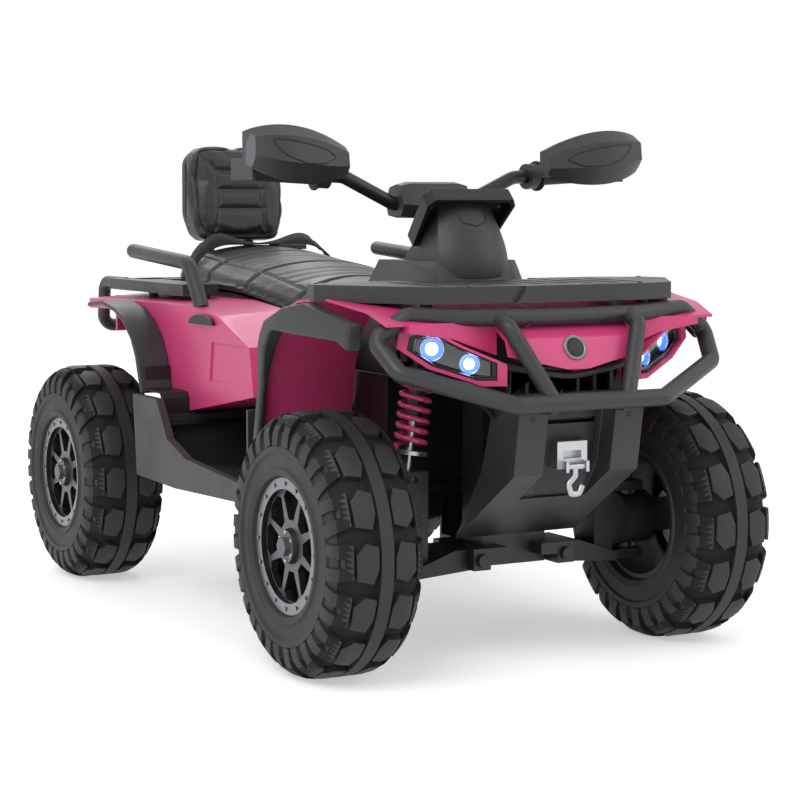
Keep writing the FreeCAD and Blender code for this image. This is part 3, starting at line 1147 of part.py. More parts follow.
def make_footwell(name):
    body = new_body(name)
    trough = [(foot_front_y, d.foot_front_z), (foot_front_y, d.foot_floor_z), (foot_rear_y, d.foot_floor_z),
              (foot_rear_y, d.foot_wall_z), (foot_rear_y - d.foot_wall, d.foot_wall_z),
              (foot_rear_y - d.foot_wall, d.foot_floor_z + d.foot_wall),
              (foot_front_y + d.foot_wall, d.foot_floor_z + d.foot_wall),
              (foot_front_y + d.foot_wall, d.foot_front_z)]
    pad(body, "YZ_Plane", trough, d.sill_in_x - d.tub_half, d.tub_half)
    length = d.foot_front - d.foot_rear
    height = d.foot_rear_z - d.sill_low_z
    sill_shares = ((0.0, 0.06), (0.0, 0.27), (0.62, 0.38), (0.84, 0.56), (0.97, 1.0), (1.27, 1.0), (1.23, 0.03),
                   (0.75, 0.0))
    sill = scaled(sill_shares, foot_front_y, length, d.sill_low_z, height)
    pad(body, "YZ_Plane", sill, d.sill_x - d.sill_in_x, d.sill_in_x)
    grip_pitch = length * 0.06
    grip_wide = grip_pitch * 0.5
    for index in range(9):
        start = foot_front_y + length * 0.24 + grip_pitch * index
        rib_low = d.foot_floor_z + d.foot_wall * 0.5
        rib_top = d.foot_floor_z + d.foot_wall * 2
        floor_wide = d.sill_in_x - d.tub_half
        rib = [(start, rib_low), (start + grip_wide, rib_low), (start + grip_wide * 0.7, rib_top),
               (start + grip_wide * 0.3, rib_top)]
        pad(body, "YZ_Plane", rib, floor_wide * 0.5, d.tub_half + floor_wide * 0.42)
    return body


keep("footwell_left", make_footwell("Footwell"))

# Right footwell: the mirror image with two ears for the accelerator pedal

foot_twin = doc.addObject("Part::Mirroring", "FootTwin")
foot_twin.Source = nodes["footwell_left"]
foot_twin.Normal = Vector(1, 0, 0)
doc.recompute()
pedal_pivot_y = rear_y - d.pedal_y
floor_top = d.foot_floor_z + d.foot_wall
pedal_pivot_z = floor_top + d.pedal_bar * 2.2
ear_in = d.pedal_half + d.part_gap
right_solid = foot_twin.Shape
for side in (1, -1):
    low, high = sorted((ear_in * side, (ear_in + d.pedal_ear) * side), key=float)
    ear = Part.makeBox(float(d.pedal_ear), float(d.pedal_ear) * 2, float(d.pedal_bar) * 4,
                       point(low - d.pedal_x, pedal_pivot_y - d.pedal_ear, floor_top))
    right_solid = right_solid.fuse(ear)
pedal_reach = ear_in + d.pedal_ear
pedal_axis = point(-d.pedal_x - pedal_reach, pedal_pivot_y, pedal_pivot_z)
pedal_bore = Part.makeCylinder(float(d.pedal_bar + d.fit_gap), float(pedal_reach) * 2, pedal_axis,
                               Vector(1, 0, 0))
right_solid = right_solid.cut(pedal_bore)
keep("footwell_right", shaped("FootwellRight", right_solid.removeSplitter()))

pedal = new_body("Pedal")
toe_y = pedal_pivot_y - d.pedal_length
toe_z = pedal_pivot_z + d.pedal_rise
tread = [(pedal_pivot_y, pedal_pivot_z + d.pedal_bar), (toe_y, toe_z), (toe_y, toe_z - d.pedal_thick),
         (pedal_pivot_y, pedal_pivot_z - d.pedal_bar)]
pad(pedal, "YZ_Plane", tread, d.pedal_half * 2, -(d.pedal_x + d.pedal_half))
keep("accelerator_pedal", fuse("AcceleratorPedal", [
    pedal, rod("X", d.pedal_bar, pedal_reach * 2, -(d.pedal_x + pedal_reach), pedal_pivot_y, pedal_pivot_z)]))

# Chassis tub: open box, neck for the dash, rear deck, pivot lugs and spring cups

tub_rear_y = rear_y - d.tub_rear
deck_end_y = rear_y + d.deck_rear
tub = new_body("Tub")
pad(tub, "YZ_Plane", [(tub_front_y, d.tub_low_z), (tub_rear_y, d.tub_low_z), (tub_rear_y, d.tub_step_z),
                      (deck_end_y, d.tub_step_z), (deck_end_y, d.tub_top_z), (tub_front_y, d.tub_top_z)],
    d.tub_half * 2, middle=True)
inner_x = d.tub_half - d.tub_wall
pocket(tub, "XY_Plane", rectangle(-inner_x, inner_x, tub_front_y + d.tub_wall, tub_rear_y - d.tub_wall),
       d.tub_top_z - d.tub_low_z - d.tub_wall, d.tub_top_z)
deck_bay = (deck_end_y - tub_rear_y) * 0.5
for index in range(2):
    bay_y = tub_rear_y + deck_bay * index
    pocket(tub, "XY_Plane", rectangle(-inner_x, inner_x, bay_y + d.tub_wall, bay_y + deck_bay - d.tub_wall),
           d.tub_top_z - d.tub_step_z - d.tub_wall, d.tub_top_z)
pocket(tub, "XY_Plane", rectangle(-d.column_radius * 2, d.column_radius * 2, tub_front_y - d.overrun,
                                  tub_front_y + d.overrun * 0.5), d.overrun, d.tub_top_z)
neck_rear = rear_y - d.seat_front
for side in (1, -1):
    neck_in = d.cowl_half - d.wall * 2
    neck_front = front_y + d.tank_front
    neck_low = d.tub_low_z + d.tub_wall
    pad(tub, "YZ_Plane", [(neck_front, neck_low), (neck_rear, neck_low), (neck_rear, d.cowl_low_z),
                          (neck_front + d.overrun, d.cowl_low_z)],
        d.wall * 2, neck_in if side > 0 else -d.cowl_half)
pad(tub, "XZ_Plane", rectangle(-d.cowl_half, d.cowl_half, neck_low, d.cowl_low_z), d.wall * 1.5, -neck_rear)
pivot_y = rear_y - d.pivot_ahead
lug_in = d.swing_half - d.pivot_lug
for side in (1, -1):
    lug = rectangle(tub_rear_y - d.tub_wall, pivot_y + d.pivot_boss, d.pivot_z - d.pivot_boss,
                    d.pivot_z + d.pivot_boss)
    pad(tub, "YZ_Plane", lug, d.pivot_lug, lug_in if side > 0 else -d.swing_half)
doc.recompute()
spring_y = rear_y - d.rear_spring_y
tub_solid = tub.Shape
cup_high = d.seat_thick * 1.5
for side in (1, -1):
    cup_spot = point(d.rear_spring_x * side, spring_y, d.tub_step_z - cup_high)
    tub_solid = tub_solid.fuse(Part.makeCylinder(float(d.seat_radius), float(cup_high), cup_spot))
tub_bore = Part.makeCylinder(float(d.pin_radius + d.fit_gap), float(d.swing_half) * 2.2,
                             point(-(d.swing_half * 1.1), pivot_y, d.pivot_z), Vector(1, 0, 0))
tub_solid = tub_solid.cut(tub_bore)
keep("chassis_tub", shaped("ChassisTub", largest(tub_solid.removeSplitter())))

pin_out = d.swing_half + d.bolt_head
keep("swing_pin", rod("X", d.pin_radius, pin_out * 2, -pin_out, pivot_y, d.pivot_z))

# Rear swing arm: pivot tube, two beams, axle tube with gear housings and spindles

boss_half = lug_in - d.part_gap
housing_in_x = d.kingpin_x - d.housing_in
housing_out_x = d.kingpin_x + d.housing_out
seat_z = d.pivot_z + d.beam_thick * 0.25
swing_parts = [
    rod("X", d.pivot_boss, boss_half * 2, -boss_half, pivot_y, d.pivot_z),
    rod("X", d.axle_tube, housing_in_x * 2, -housing_in_x, rear_y, axle_z),
    rod("X", d.axle_radius, stub_end * 2, -stub_end, rear_y, axle_z),
]
beam = new_body("Beam")
beam_half = d.beam_high * 0.5
beam_outline = [(pivot_y, d.pivot_z - d.pivot_boss * 0.8), (rear_y, axle_z - d.axle_tube * 0.8),
                (rear_y, axle_z + d.axle_tube * 0.8), (spring_y + d.seat_radius * 1.2, seat_z - d.seat_thick),
                (pivot_y, d.pivot_z + d.pivot_boss * 0.8)]
beam_x = d.rear_spring_x - d.beam_thick * 1.6
pad(beam, "YZ_Plane", beam_outline, d.beam_thick, beam_x)
beam_twin = doc.addObject("Part::Mirroring", "BeamTwin")
beam_twin.Source = beam
beam_twin.Normal = Vector(1, 0, 0)
swing_parts += [beam, beam_twin]
for side in (1, -1):
    start = housing_in_x if side > 0 else -housing_out_x
    swing_parts.append(rod("X", d.housing_radius, housing_out_x - housing_in_x, start, rear_y, axle_z))
    low, high = sorted((beam_x * side, (d.rear_spring_x + d.seat_radius) * side), key=float)
    swing_parts.append(block(low, high, spring_y - d.seat_radius, spring_y + d.seat_radius, seat_z - beam_half,
                             seat_z))
swing_solid = fuse("SwingSolid", swing_parts)
bore_half = boss_half + d.overrun * 0.5
swing_bore = rod("X", d.pin_radius + d.fit_gap, bore_half * 2, -bore_half, pivot_y, d.pivot_z)
keep("rear_swing_arm", cut("RearSwingArm", swing_solid, swing_bore))

rear_room = float(d.tub_step_z - cup_high - seat_z)
rear_height = rear_room - wire * 2 - float(d.part_gap) * 2
rear_coil = coil(float(d.rear_coil_radius), wire, rear_height, float(d.rear_coils))
rear_spring = shaped("RearSpring", rear_coil)
spring_foot = point(d.rear_spring_x, spring_y, seat_z + d.wire_radius + d.part_gap)
rear_spring.Placement = Placement(spring_foot, Rotation())
pair("rear_springs", rear_spring)

battery_y = tub_rear_y - d.overrun * 2
battery_z = d.tub_low_z + d.tub_wall
battery_half = d.battery_width * 0.5
keep("battery", block(-battery_half, battery_half, battery_y - d.battery_length, battery_y, battery_z,
                      battery_z + d.battery_height))

# Seat cushion: a crowned loft with drawn-in sides and stitched channels

# Each row: distance along the seat, half width, underside, shoulder and crown, as shares of the seat's sizes
seat_shares = ((0.0, 0.42, 0.765, 0.80, 0.878), (0.10, 0.62, 0.785, 0.835, 0.905),
               (0.30, 0.86, 0.817, 0.868, 0.926), (0.515, 1.0, 0.8665, 0.915, 0.962),
               (0.75, 1.0, 0.876, 0.938, 0.987), (0.93, 0.95, 0.882, 0.952, 1.0),
               (1.0, 0.88, 0.892, 0.945, 0.985))
seat_length = d.seat_front - d.back_y * 0.8


def seat_section(row, grow):
    along, half_share, low_share, shoulder_share, crown_share = row
    y = float(neck_rear + seat_length * along)
    half = float(d.seat_half) * half_share + grow
    low = float(d.seat_crown_z) * low_share
    shoulder = float(d.seat_crown_z) * shoulder_share
    crown = float(d.seat_crown_z) * crown_share + grow
    waist = half - (1 - 0.94) * float(d.seat_half)
    base_right = Vector(waist, y, low)
    side_right = Vector(half, y, low + (shoulder - low) * 0.55)
    top_right = Vector(half - (1 - 0.975) * float(d.seat_half), y, shoulder)
    flip = [Vector(-p.x, p.y, p.z) for p in (base_right, side_right, top_right)]
    arc = Part.Arc(top_right, Vector(0, y, crown), flip[2]).toShape()
    edges = [Part.makeLine(flip[0], base_right), Part.makeLine(base_right, side_right),
             Part.makeLine(side_right, top_right), arc, Part.makeLine(flip[2], flip[1]),
             Part.makeLine(flip[1], flip[0])]
    return Part.Wire(edges), arc


def seat_shape(grow):
    return Part.makeLoft([seat_section(row, grow)[0] for row in seat_shares], True, False)


def channel(arc):
    start = arc.valueAt(arc.FirstParameter)
    ring = Part.Wire(Part.makeCircle(float(d.channel_radius), start, arc.tangentAt(arc.FirstParameter)))
    return Part.Wire(arc).makePipeShell([ring], True, False)


cushion = seat_shape(0)
for row in seat_shares[2:5]:
    cushion = cushion.cut(channel(seat_section(row, 0)[1]))
keep("seat_cushion", shaped("SeatCushion", largest(cushion)))

base = new_body("SeatBase")
base_line = [(neck_rear + seat_length * row[0], d.seat_crown_z * (row[2] + 0.006)) for row in seat_shares]
base_line[0] = (neck_rear + d.part_gap, base_line[0][1])
base_end = neck_rear + seat_length
pad(base, "YZ_Plane", [(neck_rear + d.part_gap, d.tub_top_z)] + base_line + [(base_end, d.tub_top_z)],
    d.seat_base_half * 2, middle=True)
hollow_low = d.tub_top_z - d.overrun
hollow_front = neck_rear + d.wall * 2
hollow_rear = base_end - d.wall
hollow_line = [(hollow_front, hollow_low), (hollow_front, base_line[0][1] - d.wall * 2)]
hollow_line += [(y, z - d.wall * 2) for y, z in base_line[1:-1]]
hollow_line += [(hollow_rear, base_line[-1][1] - d.wall * 3), (hollow_rear, hollow_low)]
base_inner = d.seat_base_half - d.wall
pocket(base, "YZ_Plane", hollow_line, base_inner * 2, base_inner)
doc.recompute()
base_trim = seat_shape(0)
seat_base = largest(base.Shape.cut(base_trim))
keep("seat_base", shaped("SeatBaseTrimmed", seat_base))

# Lap belt over the seat with its buckle

belt_mid_y = rear_y - d.belt_y
belt_slab = Part.makeBox(float(d.seat_half) * 3, float(d.belt_width), float(d.seat_crown_z),
                         point(-d.seat_half * 1.5, belt_mid_y - d.belt_width * 0.5, d.seat_crown_z * 0.9))
over_belt = seat_shape(float(d.part_gap + d.belt_thick))
belt = over_belt.cut(seat_shape(float(d.part_gap))).common(belt_slab)
buckle = new_body("Buckle")
buckle_z = d.seat_crown_z - d.buckle_height * 0.4
buckle_half = d.buckle_length * 0.5
buckle_deep = d.belt_width * 0.62
pad(buckle, "XY_Plane", rectangle(d.buckle_x - buckle_half, d.buckle_x + buckle_half, belt_mid_y - buckle_deep,
                                  belt_mid_y + buckle_deep), d.buckle_height, buckle_z)
doc.recompute()
belt = largest(belt)
keep("seat_belt", shaped("SeatBelt", belt))
keep("belt_buckle", shaped("BeltBuckle", largest(buckle.Shape.cut(over_belt))))

# Backrest: a round-edged cushion with stitched channels, on a shell with two posts

back_shares = ((0.83, 0.0), (1.0, 0.27), (0.95, 1.0))
rib_shares = (0.26, 0.45, 0.64)


def back_plan(share):
    rim = d.back_height * ((1 - share) * 0.5)
    half = [(d.back_half * (a * share), rim + d.back_height * (z * share)) for a, z in back_shares]
    return both_sides(half)


def rounded_plate(name, share, thick, front, corner, edge):
    """A plate with round upper corners and a softened front edge."""
    body = new_body(name)
    pad(body, "XZ_Plane", back_plan(share), thick, -front, back=True)
    height = float(d.back_height)
    soften(body, corner, lambda middle, along: abs(along.y) > 0.9 and middle.z > height * 0.8)
    soften(body, corner * 2, lambda middle, along: abs(along.y) > 0.9 and 0.2 < middle.z / height < 0.35)
    soften(body, corner * 0.7, lambda middle, along: abs(along.y) > 0.9 and middle.z < height * 0.06)
    soften(body, edge, lambda middle, along: middle.y < float(front) + 0.01)
    return body


back_turn = Rotation(Vector(1, 0, 0), -float(d.back_lean))
back_place = Placement(point(0, rear_y + d.back_y, d.back_low_z), back_turn)
padded = rounded_plate("Backrest", 1, d.back_thick, zero, d.back_corner, d.back_round)
panel_half = d.back_half * 0.5
backrest = padded.Shape
for share in rib_shares:
    rib_z = d.back_height * share
    backrest = backrest.cut(Part.makeCylinder(float(d.channel_radius), float(panel_half) * 2,
                                              point(-panel_half, 0, rib_z), Vector(1, 0, 0)))
seam_low = d.back_height * 0.1
for side in (1, -1):
    seam = Part.makeCylinder(float(d.channel_radius), float(d.back_height * rib_shares[-1] - seam_low),
                             point(panel_half * side, 0, seam_low))
    backrest = backrest.cut(seam)
back_cushion = keep("backrest_cushion", shaped("BackrestCushion", largest(backrest)))
back_cushion.Placement = back_place
back_shell = rounded_plate("BackShell", 0.92, d.shell_thick, d.back_thick, d.back_corner, d.wall)
doc.recompute()
shell_solid = back_shell.Shape.copy()
shell_solid.Placement = back_place
post_y = rear_y + d.back_y + d.back_thick + d.shell_thick * 0.5
post_height = d.back_low_z + d.back_height * 0.4 - d.tub_top_z
for side in (1, -1):
    post_spot = point(d.post_x * side, post_y, d.tub_top_z)
    shell_solid = shell_solid.fuse(Part.makeCylinder(float(d.post_radius), float(post_height), post_spot))
keep("backrest_shell", shaped("BackrestShell", largest(shell_solid.cut(back_cushion.Shape).removeSplitter())))

# Rear rack with its bumper loop, and the grab handles

rear_rack = new_body("RearRack")
rear_rack_end = rear_y + d.rear_rack_rear
rear_rack_start = rear_y - d.rear_rack_front
cross_y = base_end + d.part_gap
half_u = [(d.rear_rack_in, cross_y), (d.rear_rack_in, rear_rack_start), (d.rear_rack_half, rear_rack_start),
          (d.rear_rack_half, rear_rack_end)]
pad(rear_rack, "XY_Plane", half_u + [(-x, y) for x, y in reversed(half_u)], d.rear_rack_thick, d.rear_rack_z)
for index in range(5):
    slot_mid = d.rear_rack_half * (0.36 * (index - 2))
    slot = rectangle(slot_mid - d.rear_rack_half * 0.12, slot_mid + d.rear_rack_half * 0.12,
                     cross_y + d.rear_rack_cross, rear_rack_end - d.rear_rack_cross)
    pocket(rear_rack, "XY_Plane", slot, d.rear_rack_thick * 2, d.rear_rack_z + d.rear_rack_thick * 1.5)
doc.recompute()
tail_y = rear_y + d.rear_overhang - d.tail_radius
rack_mid_z = d.rear_rack_z + d.rear_rack_thick * 0.5
half_tail = [point(d.tail_x, rear_rack_end - d.rear_rack_cross, rack_mid_z),
             point(d.tail_x, tail_y - d.tail_bend * 0.5, rack_mid_z), point(d.tail_x, tail_y, d.tail_low_z),
             point(0, tail_y, d.tail_low_z)]
tail = tube(half_tail, d.tail_radius, d.tail_bend)
stay_x = d.tail_x * 0.5
stay_top = d.tub_top_z - d.tail_radius
tail_stay = tube([point(stay_x, tail_y, d.tail_low_z), point(stay_x, tail_y - d.tail_root * 0.5, stay_top),
                  point(stay_x, deck_end_y - d.wall, stay_top)], d.tail_radius * 0.8, d.tail_bend)
tail = tail.fuse(tail_stay)
tail = tail.fuse(tail.mirror(Vector(0, 0, 0), Vector(1, 0, 0)))
rear_solid = rear_rack.Shape.fuse(tail)
for leg_y in (float(rear_rack_start + d.rear_rack_cross), float(cross_y)):
    for side in (1, -1):
        foot_z = d.panel_low_z + d.panel_height * 0.94
        leg_spot = point((d.rear_rack_in + d.leg_radius * 2) * side, leg_y, foot_z)
        leg = Part.makeCylinder(float(d.leg_radius), float(d.rear_rack_z - foot_z), leg_spot)
        rear_solid = rear_solid.fuse(leg)
rear_solid = trimmed(rear_solid, nodes["rear_body"], nodes["chassis_tub"], nodes["backrest_shell"])
keep("rear_rack", shaped("RearRackWhole", rear_solid.removeSplitter()))

handle_root = d.panel_low_z + d.panel_height * 0.93
handle_path = [point(d.handle_x, rear_y - d.handle_foot, handle_root),
               point(d.handle_x, rear_y - d.handle_knee, d.handle_knee_z),
               point(d.handle_x, rear_y - d.handle_tip, d.handle_tip_z)]
handle = tube(handle_path, d.handle_radius, d.handle_bend)
handle = handle.fuse(Part.makeSphere(float(d.handle_radius), handle_path[-1]))
pair("grab_handles", shaped("GrabHandle", trimmed(handle, nodes["rear_body"])))

# Dash: a flared collar and a round bulge under a tilted panel, and the start button

# Each row: rise, half width, front and rear, as shares of the cowl's sizes
collar_shares = ((0.0, 1.0, 0.0, 1.0), (1.0, 0.80, 0.06, 0.95))
bulge_shares = ((0.0, 0.58, 0.01, 0.80), (0.40, 0.55, 0.04, 0.74), (0.75, 0.45, 0.16, 0.54),
                (1.0, 0.36, 0.26, 0.40))
cowl_y = front_y + d.cowl_front
front_sag_share = 0.42


def cowl_loft(shares, low, height, inset):
    """A smooth loft of sections with a round front."""
    rings = []
    for rise, half_share, front_share, rear_share in shares:
        z = float(low + height * rise) - inset * rise
        half = float(d.cowl_half) * half_share - inset
        front = float(cowl_y + d.cowl_length * front_share) + inset
        back = float(cowl_y + d.cowl_length * rear_share) - inset
        sag = half * front_sag_share
        left, right = Vector(-half, front + sag, z), Vector(half, front + sag, z)
        left_back, right_back = Vector(-half, back, z), Vector(half, back, z)
        arc = Part.Arc(left, Vector(0, front, z), right).toShape()
        rings.append(Part.Wire([arc, Part.makeLine(right, right_back), Part.makeLine(right_back, left_back),
                                Part.makeLine(left_back, left)]))
    return Part.makeLoft(rings, True, len(rings) == 2)


dash_turn = Rotation(Vector(1, 0, 0), -float(d.panel_tilt))
dash_place = Placement(point(0, front_y + d.dash_y, d.dash_z), dash_turn)


def above_dash(drop):
    big = float(d.dash_length) * 4
    tool = Part.makeBox(big, big, big, Vector(-big / 2, -big / 2, -drop))
    tool.Placement = dash_place
    return tool


def cowl_solid(inset):
    flared = cowl_loft(collar_shares, d.cowl_low_z, d.collar_height, inset)
    bulge = cowl_loft(bulge_shares, d.bulge_low_z, d.bulge_height, inset)
    return flared.fuse(bulge.cut(above_dash(inset)))


column_clear = Part.makeCylinder(float(d.column_hole) * 0.5, column_length * 2, column_foot, column_way)
button_spot = Part.makeCylinder(float(d.button_radius) * 1.5, float(d.overrun),
                                Vector(float(d.button_x), 0, -float(d.overrun)))
button_spot.Placement = dash_place
cowl_outer = cowl_solid(0)
cowl = cowl_outer.cut(cowl_solid(float(d.wall))).cut(column_clear).cut(button_spot)
keep("dash_cowl", shaped("DashCowl", largest(cowl.cut(nodes["front_body"].Shape))))

dash = new_body("Dash")
dash_shares = ((0.90, 0.5), (1.0, -0.36), (0.88, -0.5))


def dash_plan(inset):
    return both_sides([(d.dash_half * a - inset, (d.dash_length - inset * 2) * b) for a, b in dash_shares])


pad(dash, "XY_Plane", dash_plan(zero), d.dash_thick + d.dash_skirt, -d.dash_skirt)
pocket(dash, "XY_Plane", dash_plan(d.dash_rim), d.dash_recess, d.dash_thick)
pocket(dash, "XY_Plane", dash_plan(d.dash_rim), d.dash_skirt)
dash.Placement = dash_place
doc.recompute()
button_bore = Part.makeCylinder(float(d.button_radius + d.fit_gap), float(d.overrun),
                                Vector(float(d.button_x), 0, -float(d.overrun) / 2))
button_bore.Placement = dash_place
dash_solid = dash.Shape.cut(cowl_outer).cut(button_bore).cut(column_clear)
keep("dash_panel", shaped("DashPanel", largest(dash_solid)))
button_low = Vector(float(d.button_x), 0, float(d.dash_recess) * 0.5)
button_solid = Part.makeCylinder(float(d.button_radius), float(d.button_height), button_low)
button = keep("start_button", shaped("StartButton", button_solid))
button.Placement = dash_place

# Grips as one node

doc.recompute()
grip_left = nodes.pop("grip_left")
nodes.pop("grip_right")
pair("grips", grip_left)

# Every solid is checked before its file is written

doc.recompute()
for thing in doc.Objects:
    if "Invalid" in thing.State or "Error" in thing.State:
        raise RuntimeError(f"{thing.Label} is {thing.State}")
os.makedirs("parts", exist_ok=True)
for label, thing in nodes.items():
    shape = thing.Shape
    if shape.isNull() or not shape.isValid() or not shape.Solids:
        raise RuntimeError(f"{label} is not a sound solid")
    shape.exportStep(f"parts/{label}.step")
print(f"{len(nodes)} nodes written")
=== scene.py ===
import json
import math

import bmesh
import bpy
from mathutils import Matrix, Vector
from mathutils.bvhtree import BVHTree
from mathutils.kdtree import KDTree


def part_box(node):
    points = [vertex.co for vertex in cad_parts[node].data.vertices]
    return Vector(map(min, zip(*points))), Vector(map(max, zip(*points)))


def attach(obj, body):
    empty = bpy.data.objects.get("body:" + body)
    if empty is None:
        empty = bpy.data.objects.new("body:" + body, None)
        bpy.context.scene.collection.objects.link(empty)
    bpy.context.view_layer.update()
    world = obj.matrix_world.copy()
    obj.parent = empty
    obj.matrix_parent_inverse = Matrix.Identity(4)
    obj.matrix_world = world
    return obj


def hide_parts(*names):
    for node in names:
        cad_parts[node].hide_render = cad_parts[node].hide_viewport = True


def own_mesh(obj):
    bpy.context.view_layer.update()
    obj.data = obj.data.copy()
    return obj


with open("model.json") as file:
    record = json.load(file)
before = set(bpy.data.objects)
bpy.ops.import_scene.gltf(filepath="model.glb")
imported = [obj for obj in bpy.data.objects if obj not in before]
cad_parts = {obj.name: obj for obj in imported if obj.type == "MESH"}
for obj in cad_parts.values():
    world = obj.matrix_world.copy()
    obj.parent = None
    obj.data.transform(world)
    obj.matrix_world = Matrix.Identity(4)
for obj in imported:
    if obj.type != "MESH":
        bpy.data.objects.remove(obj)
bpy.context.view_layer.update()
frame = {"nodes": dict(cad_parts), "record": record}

mm = 0.001
scene = bpy.context.scene
sides = {"Left": 1, "Right": -1}
rearward, downward = (0, 1, 0), (0, 0, -1)
mergeReach = 0.01 * mm  # points nearer than this are one
flatAngle = 0.4  # degrees between facets of one flat face


# materials

def linear(hexColour):
    channels = [int(hexColour[i:i + 2], 16) / 255 for i in (1, 3, 5)]
    return [c / 12.92 if c <= 0.04045 else ((c + 0.055) / 1.055) ** 2.4 for c in channels] + [1.0]


def addNode(tree, kind, inputs=None, **settings):
    node = tree.nodes.new(kind)
    for name, value in settings.items():
        setattr(node, name, value)
    for name, value in (inputs or {}).items():
        if isinstance(value, bpy.types.NodeSocket):
            tree.links.new(value, node.inputs[name])
        else:
            node.inputs[name].default_value = value
    return node


def newMaterial(name, **sockets):
    material = bpy.data.materials.new(name)
    material.use_nodes = True
    tree = material.node_tree
    shader = tree.nodes["Principled BSDF"]
    for socket, value in sockets.items():
        shader.inputs[socket.replace("_", " ")].default_value = value
    return material, tree, shader


# bump from a texture whose feature size is given in millimetres
def addGrain(tree, shader, kind, sizeMm, strength, depthMm, output=0, **settings):
    place = addNode(tree, "ShaderNodeTexCoord")
    grain = addNode(tree, kind, {"Vector": place.outputs["Object"], "Scale": 1000 / sizeMm}, **settings)
    bump = addNode(tree, "ShaderNodeBump",
                   {"Height": grain.outputs[output], "Strength": strength, "Distance": depthMm * mm})
    tree.links.new(bump.outputs["Normal"], shader.inputs["Normal"])


# a soft cloud of two near colours and two near roughnesses
def addMottle(tree, shader, sizeMm, colours, roughness):
    place = addNode(tree, "ShaderNodeTexCoord")
    cloud = addNode(tree, "ShaderNodeTexNoise", {"Vector": place.outputs["Object"], "Scale": 1000 / sizeMm,
                                                 "Detail": 5.0})
    hue = addNode(tree, "ShaderNodeMixRGB", {"Fac": cloud.outputs["Fac"], "Color1": linear(colours[0]),
                                             "Color2": linear(colours[1])})
    gloss = addNode(tree, "ShaderNodeMapRange", {"Value": cloud.outputs["Fac"], "From Min": 0.3,
                                                 "From Max": 0.7, "To Min": roughness[0],
                                                 "To Max": roughness[1]})
    tree.links.new(hue.outputs["Color"], shader.inputs["Base Color"])
    tree.links.new(gloss.outputs["Result"], shader.inputs["Roughness"])


# ABS shell, injection moulded and polished: an even hue, soft clear highlights and a faint flow in the gloss
pinkAbs, tree, shader = newMaterial("pink ABS, polished", IOR=1.5, Coat_Weight=0.08, Coat_Roughness=0.15)
addMottle(tree, shader, 160, ("#D33F7A", "#D7457F"), (0.33, 0.37))

# polypropylene with a spark-eroded grain: broad dull sheen (grain drawn at 1.4 mm so that it shows)
charcoalPp, tree, shader = newMaterial("charcoal polypropylene, grained", IOR=1.49)
addMottle(tree, shader, 60, ("#2A2B2E", "#323336"), (0.4, 0.52))
addGrain(tree, shader, "ShaderNodeTexNoise", 1.4, 0.14, 0.3)

# polypropylene, inner and lower trim: darker and a little smoother (grain drawn at 1.6 mm)
blackPp, tree, shader = newMaterial("black polypropylene, moulded", IOR=1.49)
addMottle(tree, shader, 50, ("#0F1012", "#151618"), (0.4, 0.5))
addGrain(tree, shader, "ShaderNodeTexNoise", 1.6, 0.1, 0.3)

# blown EVA tyre: matt, faintly pitted, with a paler bloom in patches
tyreEva, tree, shader = newMaterial("EVA foam tyre, moulded", IOR=1.48)
addMottle(tree, shader, 45, ("#222325", "#2C2D2F"), (0.52, 0.68))
addGrain(tree, shader, "ShaderNodeTexNoise", 1.8, 0.18, 0.4)

# the tread's grooves: darker for the shade that falls in them (painted shade), matt, no sheen
grooveShadeEva, tree, shader = newMaterial("EVA foam tyre, groove skin", IOR=1.45)
addMottle(tree, shader, 45, ("#0E0F10", "#151617"), (0.8, 0.9))

# silver paint on ABS: fine flakes under a satin clear coat (flakes drawn at 0.9 mm)
silverPaint, tree, shader = newMaterial("silver paint on ABS", Metallic=0.55, IOR=1.5)
addMottle(tree, shader, 0.9, ("#787B7F", "#8F9296"), (0.28, 0.4))

# graphite paint on ABS: the same flakes, darker
graphitePaint, tree, shader = newMaterial("graphite paint on ABS", Metallic=0.4, IOR=1.5)
addMottle(tree, shader, 0.9, ("#55575B", "#67696D"), (0.34, 0.44))

# powder coat on steel tube: satin with slight orange peel
powderCoat, tree, shader = newMaterial("black powder coat", IOR=1.5)
addMottle(tree, shader, 40, ("#151618", "#1C1D1F"), (0.34, 0.44))
addGrain(tree, shader, "ShaderNodeTexNoise", 2.2, 0.08, 0.2)

# zinc plate on steel: bright, slightly cloudy
zincSteel, tree, shader = newMaterial("zinc plated steel", Metallic=1.0)
addMottle(tree, shader, 6, ("#A6A8AC", "#C2C4C7"), (0.24, 0.4))

# gloss enamel on spring steel: drawn wire shows as faint lengthwise ripple
springEnamel, tree, shader = newMaterial("pink enamel on spring steel", IOR=1.5, Coat_Weight=0.3)
addMottle(tree, shader, 18, ("#C93A74", "#D5467E"), (0.22, 0.32))
addGrain(tree, shader, "ShaderNodeTexNoise", 5, 0.06, 0.3)

# sand cast aluminium, bead blasted: bright grey with a soft pitted skin
castAluminium, tree, shader = newMaterial("cast aluminium, blasted", Metallic=1.0)
addMottle(tree, shader, 9, ("#B4B6BA", "#CFD1D4"), (0.34, 0.5))
addGrain(tree, shader, "ShaderNodeTexNoise", 1.2, 0.2, 0.3)

# polyurethane leatherette with a pebbled emboss: broken soft sheen (pebbles drawn at 2.2 mm)
leatherette, tree, shader = newMaterial("black leatherette, embossed", IOR=1.5)
addMottle(tree, shader, 70, ("#232427", "#2B2C2F"), (0.36, 0.48))
addGrain(tree, shader, "ShaderNodeTexVoronoi", 2.2, 0.22, 0.35, feature="SMOOTH_F1")

# vinyl piping and seam thread: the same black, duller
pipingVinyl, tree, shader = newMaterial("black vinyl piping", IOR=1.5)
addMottle(tree, shader, 12, ("#161718", "#1E1F21"), (0.38, 0.5))

